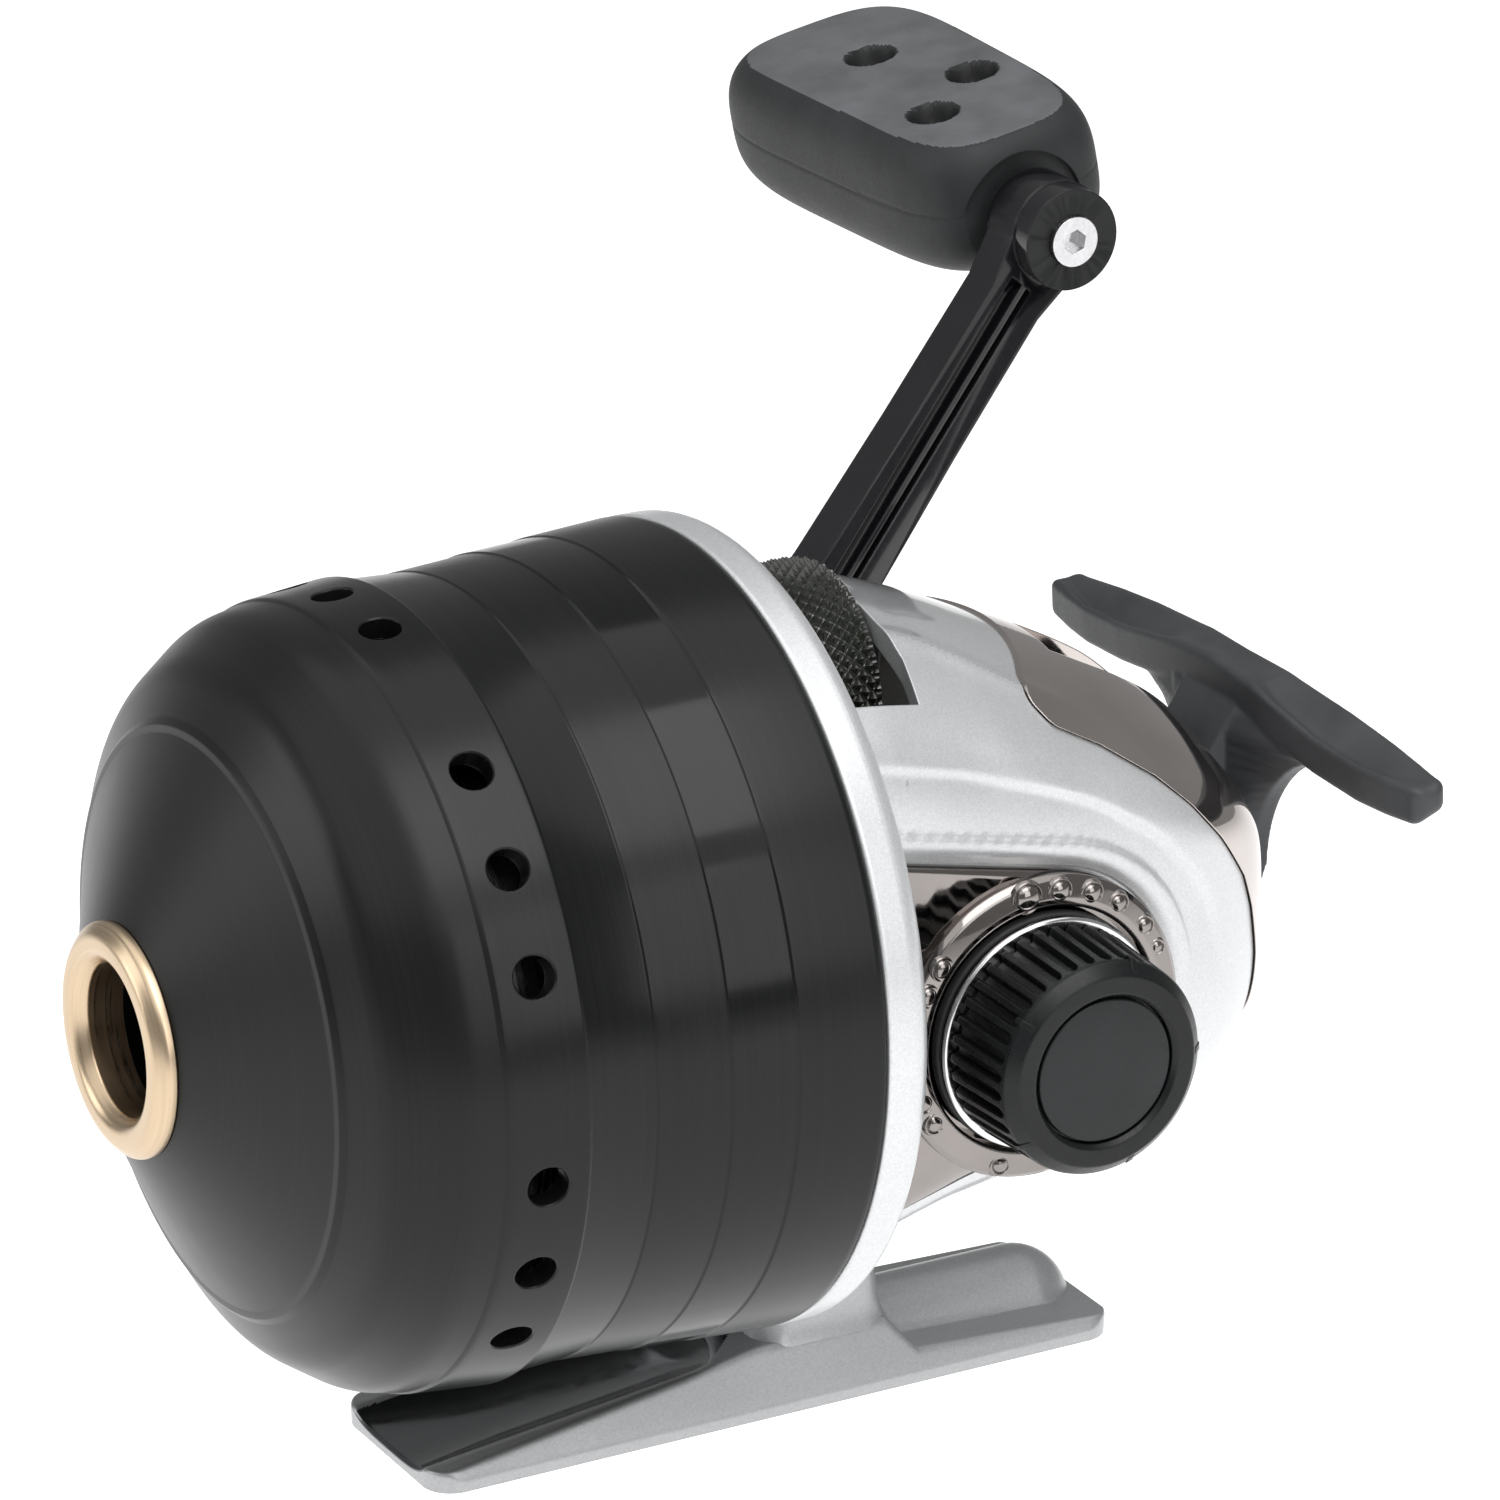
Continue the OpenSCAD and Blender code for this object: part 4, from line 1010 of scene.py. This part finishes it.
cap = rounded([(AXIS_R, 31.3), (5.95, 31.3), (5.95, 31.98, 0.16), (3.0, 32.06), (AXIS_R, 32.07)])
washer = rounded([(3.3, 22.86), (9.75, 22.86, 0.3), (9.75, 23.72, 0.3), (3.3, 23.72)], steps=8)
seat = rounded([(3.3, 21.96), (9.85, 21.96), (9.85, 22.8, 0.25), (3.3, 22.8)])
piece("cap_skin", turned(cap, 180), DIAL_CAP, "dial", ["dial_cap"])
piece("washer_skin", turned(washer, 180), CHROME, "dial", ["dial_washer"])
piece("seat_skin", turned(seat, 180), DARK_RUBBER, "frame", ["dial_seat"])

# ---------------------------------------------------------------- thumbwheel

KNURLS = 46
WHEEL_R = 9.95
WHEEL_CROWN = 10.6  # y where the barrel is widest
WHEEL_REAR = 13.1
wheel_profile = [(1.5, 5.1), (7.0, 5.1), (8.5, 5.5)]
for h in np.linspace(5.6, WHEEL_REAR - 0.5, 84):
    wheel_profile.append((WHEEL_R - 0.055 * (h - WHEEL_CROWN) ** 2, h))
wheel_profile += [(9.45, WHEEL_REAR - 0.2), (9.1, WHEEL_REAR), (6.2, WHEEL_REAR), (5.9, 12.5), (1.5, 12.5)]


def knurled(r, h, a):
    """Coarse diamond knurling over the whole crowned rim."""
    if 5.5 < h < WHEEL_REAR - 0.1 and r > 8.4:
        p = a * KNURLS / (2 * math.pi)
        q = (h - 5.5) / 1.36
        one, two = abs((p + q) % 1 - 0.5) * 2, abs((p - q) % 1 - 0.5) * 2
        fade = min(1, (WHEEL_REAR - 0.1 - h) / 0.3) * min(1, (h - 5.5) / 0.5)
        return r - 0.68 * max(one, two) ** 1.1 * fade
    return r


wheel_verts, wheel_faces = lathe(wheel_profile, KNURLS * 14, True, knurled)
wheel = ([(x, y, z + WHEEL_Z) for x, y, z in wheel_verts], wheel_faces)
piece("wheel_skin", wheel, KNURL_BLACK, "thumbwheel", ["drag_thumbwheel"], angle=18)

# ---------------------------------------------------------------- handle

collar = rounded([(2.5, 22.15), (6.35, 22.15, 0.3), (6.35, 26.4, 0.5), (5.7, 27.0, 0.3), (2.5, 27.0)])
piece("collar_skin", turned(collar, 120, sign=-1), GLOSS_BLACK, "crank", ["crank_collar"])


def arm_prism(name, outline, lo, hi, axis):
    """axis z: outline (x, t) across the arm; axis x: outline (t, z) through it."""
    verts, faces = prism(outline, lo, hi, axis)
    return new_object(name, on_arm(verts), faces)


def arm_rod(name, radius, lo, hi, segs):
    """A rod along X on the paddle's spindle, from x = lo to hi."""
    verts, faces = lathe(rod(radius, lo, hi), segs)
    return new_object(name, on_arm([(h, CRANK_LEN + a, b) for a, h, b in verts]), faces)


side_form = rounded(
    [
        (-27.1, -7), (-27.1, 5.6, 3.0), (-28.2, 8.8, 5.0), (-33.5, 15.6, 8.0), (-38, 62), (-42, 62),
        (-37.9, 14.8, 8.0), (-32, 6.5, 5.0), (-32, -7),
    ],
    steps=8,
)
HUB_R, HEAD_R, BOSS_R = 6.4, 4.6, 4.45
hub = arc((0, 0), HUB_R, 0.77, 2 * math.pi - 0.77, 40)
head = arc((CRANK_LEN, 0), HEAD_R, -2.2, 2.2, 30)
lower = [(14, -3.85), (22, -3.25), (36, -2.95), (50, -2.9)]
front_form = hub + lower + head + [(t, -z) for t, z in reversed(lower)]
arm = arm_prism("arm_skin", side_form, -8, 8, "z")
combine(arm, arm_prism("tool_arm", front_form, -45, -20, "x"), "INTERSECT")
combine(arm, arm_rod("tool_boss", BOSS_R, -42, -35.2, 96), "UNION")
for start, near, far, lo, hi in (
    (16.5, (-34.6, 16.8), -38.35, 0.35, 1.75),
    (15.0, (-34.35, 15.4), -38.1, -0.75, -0.15),
):
    groove = rounded([(-30, start), (*near, 1.2), (far, 51.4, 1.2), (-30, 52.4)], steps=5)
    combine(arm, arm_prism("tool_groove", groove, lo, hi, "z"))
combine(arm, arm_rod("tool_bore", 2.21, -46, -30, 48))
bevel(arm, 0.3, 3, 34)
done(arm, GLOSS_BLACK, "crank", ["handle_arm"], angle=38)
repaint(arm, [SATIN_BLACK], lambda x, y, z, n: int(x > -35.3 and n.x > 0.9 and math.dist((y, z), HOLD) < 4.5))

nut_skin = new_object("nut_skin", *turned(rod(4.6, 32.15, 35.2), 6, sign=-1))
bevel(nut_skin, 0.25, 3, 30)
turns = np.linspace(math.pi / 1.7, 0.004, 20)
acorn = [(AXIS_R, 34.0)] + [(3.45 * math.sin(a), 35.35 + 3.4 * math.cos(a)) for a in turns]
combine(nut_skin, new_object("tool_dome", *turned(acorn, 72, sign=-1)), "UNION")
done(nut_skin, CHROME, "crank", ["handle_nut"])

# ---------------------------------------------------------------- paddle

PADDLE_TURN = math.radians(11)
PADDLE_MID = (-62.6, 1.0, 1.6)  # its middle's x, and its offset from the spindle before the turn
PADDLE_HALF = 20.0


def at_paddle(x, y, z):
    """Shapes drawn about the paddle's middle, put on its spindle and turned with it."""
    y, z = y + PADDLE_MID[1], z + PADDLE_MID[2]
    c, s = math.cos(PADDLE_TURN), math.sin(PADDLE_TURN)
    return (x + PADDLE_MID[0], HOLD[0] + y * c - z * s, HOLD[1] + y * s + z * c)


DIMPLES = ((-6.6, 0.1), (9.5, -2.9), (4.4, 4.1))
DIMPLE_R = 2.45
DIMPLE_DEPTH = 2.2


def power_wave(wave, exponent):
    """A sine or cosine raised to a power, with its sign kept."""
    return np.sign(wave) * np.abs(wave) ** exponent


def paddle_mesh(rows=190, turns=300):
    """A rounded block with a flat, dimpled lid; each ring is spaced evenly along its length."""
    fine = np.linspace(0, 2 * math.pi, 2401)
    verts = []
    for i in range(rows + 1):
        x = PADDLE_HALF * math.sin(math.pi * (i / rows - 0.5))
        along = x / PADDLE_HALF
        f = max(1 - abs(along) ** 4.4, 0) ** (1 / 4.4)
        y = (10.25 - 0.85 * along) * f * power_wave(np.cos(fine), 2 / 3.1)
        z = 7.6 * f * power_wave(np.sin(fine), 2 / 3.1)
        lid = 5.75 + 0.3 * (1 - along**2)
        z = np.where(z > 0, soft_min(z, lid, 0.22), -soft_min(-z, 7.35, 0.8))
        length = np.concatenate([[0], np.cumsum(np.hypot(np.diff(y), np.diff(z)))])
        spots = np.linspace(0, length[-1], turns, endpoint=False)
        y, z = np.interp(spots, length, y), np.interp(spots, length, z)
        y = y - 0.1 * np.sign(y) * (np.abs(z) < 0.12) * (f > 0.3)  # the mould's parting line
        for dx, dy in DIMPLES:
            d = np.hypot(x - dx, y - dy) / DIMPLE_R
            z = z - DIMPLE_DEPTH * (1 - step_up(d, 0.55, 1.0)) * (z > 0)
        verts += [at_paddle(x, b, c) for b, c in zip(y, z)]
    return verts, bands(rows + 1, turns)


def paddle_look(x, y, z, normal):
    """2 in the dimples (painted shade), 1 on the up-facing lid (painted top light) and 0 elsewhere."""
    c, s = math.cos(PADDLE_TURN), math.sin(PADDLE_TURN)
    dy, dz = y - HOLD[0], z - HOLD[1]
    spot = (x - PADDLE_MID[0], dy * c + dz * s - PADDLE_MID[1])
    # Faces in the dimples take the darker copy: painted shade.
    if dz * c - dy * s - PADDLE_MID[2] > 2.5 and min(math.dist(spot, dimple) for dimple in DIMPLES) < 2.25:
        return 2
    # Up-facing lid faces take the lighter copy: painted top light.
    return int(normal.z * c - normal.y * s > 0.93)


paddle = new_object("paddle_skin", *paddle_mesh())
for radius, lo, hi in ((5.75, -43.5, -40), (2.3, -66, -40), (4.02, -90, -65)):
    combine(paddle, new_object("tool_bore", *turned(rod(radius, lo, hi), 96, HOLD)))
done(paddle, PADDLE_RUBBER, "paddle", ["paddle"], angle=40)
# Painted top light on the up-facing lid and painted shade in the dimples, as lighter and darker copies of the
# rubber.
repaint(paddle, [PADDLE_LIT_TOP, PADDLE_PIT_SHADE], paddle_look)
plug = rounded([(AXIS_R, -80.6), (3.3, -80.6), (3.93, -80.1, 0.3), (3.93, -72.5), (AXIS_R, -72.5)])
piece("plug_skin", turned(plug, 96, HOLD), SATIN_BLACK, "paddle", ["paddle_plug"])

# ---------------------------------------------------------------- thumb lever

WING = np.array([
    # |x|, then front-low, front-top, dish, rear-top, rear-low as (y, z)
    [0.0, 49.6, 9.4, 49.3, 13.9, 50.9, 13.8, 53.3, 13.9, 53.6, 10.4],
    [6.0, 49.65, 9.0, 49.3, 13.5, 50.8, 13.3, 53.5, 14.0, 53.8, 10.3],
    [8.5, 49.7, 8.8, 49.3, 13.25, 50.5, 12.3, 53.6, 14.0, 53.9, 10.2],
    [15.0, 49.8, 8.0, 49.3, 12.4, 50.5, 11.1, 53.9, 13.7, 54.1, 9.9],
    [21.0, 50.1, 7.6, 49.6, 11.9, 50.9, 10.7, 54.1, 13.0, 54.2, 9.5],
    [24.5, 50.5, 7.6, 50.1, 11.65, 51.5, 11.0, 54.1, 12.3, 54.2, 9.3],
    [27.6, 50.9, 7.8, 50.7, 11.4, 52.5, 11.4, 54.0, 11.7, 54.1, 9.1],
])
WING_HALF = 27.4


def wing_ring(x, squeeze):
    """The wing's section at x, drawn in towards its middle by squeeze."""
    row_at = [np.interp(abs(x), WING[:, 0], WING[:, c]) for c in range(1, 11)]
    pts = np.array(row_at).reshape(5, 2)
    middle = pts.mean(axis=0)
    pts = middle + (pts - middle) * (1 - squeeze)
    radii = (0.7, 0.6, 0.6, 0.7, 0.9)
    return rounded([(*p, r * (1 - squeeze)) for p, r in zip(pts, radii)], steps=5)


def wing_mesh():
    """The wing, with tips that close in round arcs."""
    turns = np.radians([20, 40, 58, 72, 82])
    tip = [(WING_HALF + 1.05 * math.sin(a), 0.8 * (1 - math.cos(a))) for a in turns]
    stations = [(-x, q) for x, q in reversed(tip)]
    stations += [(x, 0.0) for x in np.linspace(-WING_HALF, WING_HALF, 75)] + tip
    return loft([[(x, p[0], p[1]) for p in wing_ring(x, q)] for x, q in stations])


lever = new_object("lever_skin", *wing_mesh())
web_rings = []  # the web between stem and wing, flared in an arc to each side
for z in (*np.linspace(-3.9, 8.8, 14), 10.4):
    half = 17 - math.sqrt(max(169 - (z + 4) ** 2, 3.3))
    mid = max(48.4, float(np.interp(z, [2.6, 6.5, 11.4], [44.65, 46.5, 49.8])))
    outline = [(-half, 51.3), (-3.9, mid), (3.9, mid), (half, 51.3), (half, 52.9), (-half, 52.9)]
    web_rings.append([(x, y, z) for x, y in outline])
stem = rounded(
    [
        (44.65, -9.2), (44.65, 2.6, 2), (46.5, 6.5, 2), (49.8, 11.4), (52, 11.4), (52.9, 6, 1),
        (52.9, -3.6, 2), (52, -6.4, 1), (49.3, -8.3, 1), (47.2, -10.6),
    ]
)
eye = arc(LEVER_PIVOT, 2.35, 0, 2 * math.pi, 41)[:-1]
combine(lever, new_object("tool_web", *loft(web_rings)), "UNION")
combine(lever, new_object("tool_stem", *prism(stem, -4, 4)), "UNION")
combine(lever, new_object("tool_eye", *prism(eye, -3.95, 3.95)), "UNION")
mod = lever.modifiers.new("even", "REMESH")
mod.mode = "VOXEL"
mod.voxel_size = 0.17 * MM
mod = lever.modifiers.new("soften", "SMOOTH")
mod.factor = 0.5
mod.iterations = 3
bake(lever)
done(lever, LEVER_GREY, "thumb_lever", ["thumb_lever"], angle=60)

# ---------------------------------------------------------------- foot

FOOT_Y = (-27.0, 36.0)
FOOT_HALF = 8.8
FOOT_CORNER = 2.6
FOOT_LIP = 0.4
FOOT_TOP = [(-27, 1.7), (-4, 4.4), (3.4, 5.4), (15.2, 5.4), (17.5, 2.7), (36, 1.9)]
RIDGE_R = 4.6
RIDGE_Y = (17.5, 31.2)


def foot_height(x, y):
    """Height of the foot's upper surface over its base: sloped sides, a scoop in front and a ridge behind."""
    top = np.interp(y, *zip(*FOOT_TOP))
    body = soft_min(top, 1.2 + (FOOT_HALF - np.abs(x)) * 1.9, 0.6)
    scoop = top - 1.35 + 1.35 * (np.abs(x) / 6.3) ** 2.4 + np.maximum((y + 2.5) / 4.5, 0) ** 2 * 2.2
    body = soft_min(body, scoop, 0.25)
    reach = RIDGE_R**2 - x**2 - np.maximum(y - RIDGE_Y[1], 0) ** 2 - np.maximum(RIDGE_Y[0] - y, 0) ** 2
    ridge = 0.9 + np.sqrt(np.maximum(reach, 0))
    return -soft_min(-body, -ridge, 0.7)


def foot_mesh(nx=96, ny=340):
    """The foot: a grid over its outline, closer at the edges, with rounded lips and a flat base."""
    ys = FOOT_Y[0] + (FOOT_Y[1] - FOOT_Y[0]) * (1 - np.cos(np.linspace(0, math.pi, ny))) / 2
    us = np.sin(np.linspace(-math.pi / 2, math.pi / 2, nx))
    end = np.minimum(ys - FOOT_Y[0], FOOT_Y[1] - ys)
    corner = np.maximum(FOOT_CORNER**2 - np.maximum(FOOT_CORNER - end, 0) ** 2, 0)
    half = FOOT_HALF - FOOT_CORNER + np.sqrt(corner)
    x = half[:, None] * us[None, :]
    y = np.repeat(ys[:, None], nx, axis=1)
    lip = np.minimum(half[:, None] - np.abs(x), np.repeat(end[:, None], nx, axis=1))
    z = foot_height(x, y) - FOOT_LIP * (1 - np.sqrt(1 - np.clip(1 - lip / FOOT_LIP, 0, 1) ** 2))
    verts = [(a, b, c - AXIS_HEIGHT) for a, b, c in zip(x.ravel(), y.ravel(), z.ravel())]
    verts += [(a * 0.985, b, -AXIS_HEIGHT) for a, b in zip(x.ravel(), y.ravel())]
    low = nx * ny
    faces = []
    for i in range(ny - 1):
        for k in range(nx - 1):
            a, b, c, d = i * nx + k, i * nx + k + 1, (i + 1) * nx + k + 1, (i + 1) * nx + k
            faces += [(a, b, c, d), (low + a, low + d, low + c, low + b)]
    border = list(range(nx)) + [i * nx + nx - 1 for i in range(1, ny)]
    border += [(ny - 1) * nx + k for k in range(nx - 2, -1, -1)] + [i * nx for i in range(ny - 2, 0, -1)]
    faces += [(a, b, low + b, low + a) for a, b in zip(border, border[1:] + border[:1])]
    return verts, faces


foot = new_object("foot_skin", *foot_mesh())
# The foot and its neck take the darker copy of the silver paint: painted shade.
done(foot, FOOT_SILVER_SHADED, "frame", ["reel_foot"], angle=50)
repaint(
    foot,
    [FOOT_POLISH],
    lambda x, y, z, n: int(n.z > 0.2 and y < 2.5 and abs(x) < 6.0 - 3.0 * max(0, y + 1) / 3.5),
)
neck_rings = []
for z, half, y0, y1 in (
    (-38.0, 7.7, 2.8, 16.8), (-36.4, 6.95, 3.3, 16.3), (-35.2, 6.5, 3.8, 15.9), (-34.0, 6.35, 4.2, 15.6),
    (-32.0, 6.3, 4.4, 15.4), (-28.6, 6.3, 4.4, 15.4), (-27.0, 6.3, 4.6, 15.2),
):
    outline = rounded([(half, y0, 2.6), (half, y1, 2.6), (-half, y1, 2.6), (-half, y0, 2.6)], steps=8)
    neck_rings.append([(x, y, z) for x, y in outline])
piece("foot_neck", loft(neck_rings), FOOT_SILVER_SHADED, "frame", slot="reel_foot", angle=40)

# ---------------------------------------------------------------- line on the spool

ARBOR_R = 10.2
WOUND_R = 20.25
LINE_PITCH = 0.3
LINE_FRONT, LINE_REAR = -14.85, -6.15

turns_of_line = []
for k in range(29):
    y0 = LINE_FRONT + LINE_PITCH * k
    swell = WOUND_R + 0.3 * math.sin(k * 0.45)
    for rise, along in ((0, 0), (0.13, 0.06), (0.15, 0.15), (0.12, 0.24)):
        turns_of_line.append((swell + rise, y0 + along))
winding = [(ARBOR_R, LINE_FRONT)] + turns_of_line + [(20.2, LINE_REAR), (ARBOR_R, LINE_REAR)]
piece("winding_skin", lathe(winding, 240), LINE, "spool", ["line_winding"])

# ---------------------------------------------------------------- camera, stage and light

azimuth, elevation = (math.radians(a) for a in (61.1, 21.2))
right = Vector((math.cos(azimuth), math.sin(azimuth), 0))
flat = math.cos(elevation)
ahead = Vector((-math.sin(azimuth) * flat, math.cos(azimuth) * flat, -math.sin(elevation)))
up = right.cross(ahead)
cam_data = bpy.data.cameras.new("camera")
cam_data.lens = 192.75
cam_data.sensor_width = 36
cam = bpy.data.objects.new("camera", cam_data)
bpy.context.scene.collection.objects.link(cam)
cam.location = Vector(row(0, 0, 0)) + (right * 5.40 + up * 13.79 - ahead * 642.2) * MM
cam.rotation_mode = "QUATERNION"
cam.rotation_quaternion = ahead.to_track_quat("-Z", "Y")
cam_data.clip_start = 0.01
cam_data.clip_end = 20
bpy.context.scene.camera = cam


def plain_material(name, color, rough):
    t = Nodes(name, color, rough)
    fleck = t.noise(40, 2, 0.5)
    tint = t.ramp(fleck, "Fac", 0.3, 0.7, tuple(c * 0.985 for c in color), color)
    t.link(tint, "Color", t.shader, "Base Color")
    t.link(tint, "Color", t.shader, "Emission Color")
    t.set(t.shader, "Emission Strength", 0.5)
    return t.material


floor_z = -0.062
bpy.ops.mesh.primitive_plane_add(size=6, location=(0, 0, floor_z))
floor = bpy.context.object
floor.name = "floor"
floor.data.materials.append(plain_material("pale_floor", (0.93, 0.93, 0.93), 0.7))

world = bpy.data.worlds.new("studio")
bpy.context.scene.world = world
world.use_nodes = True
world.node_tree.nodes["Background"].inputs["Color"].default_value = (1.0, 1.0, 1.0, 1)
world.node_tree.nodes["Background"].inputs["Strength"].default_value = 0.3


def softbox(name, place, size, power):
    """A square area light that faces the object."""
    data = bpy.data.lights.new(name, "AREA")
    data.size = size
    data.energy = power
    lamp = bpy.data.objects.new(name, data)
    lamp.location = place
    lamp.rotation_mode = "QUATERNION"
    lamp.rotation_quaternion = (Vector((0, 0, 0.045)) - Vector(place)).to_track_quat("-Z", "Y")
    bpy.context.scene.collection.objects.link(lamp)


softbox("canopy", (0.15, -0.1, 0.8), 1.5, 7.5)
softbox("key_top", (0.3, 0.0, 0.7), 0.5, 2.2)
softbox("side_right", (0.8, 0.15, 0.35), 0.5, 1.6)
softbox("front_left", (-0.35, -0.8, 0.35), 0.5, 2.0)
bpy.context.scene.view_settings.view_transform = "Standard"
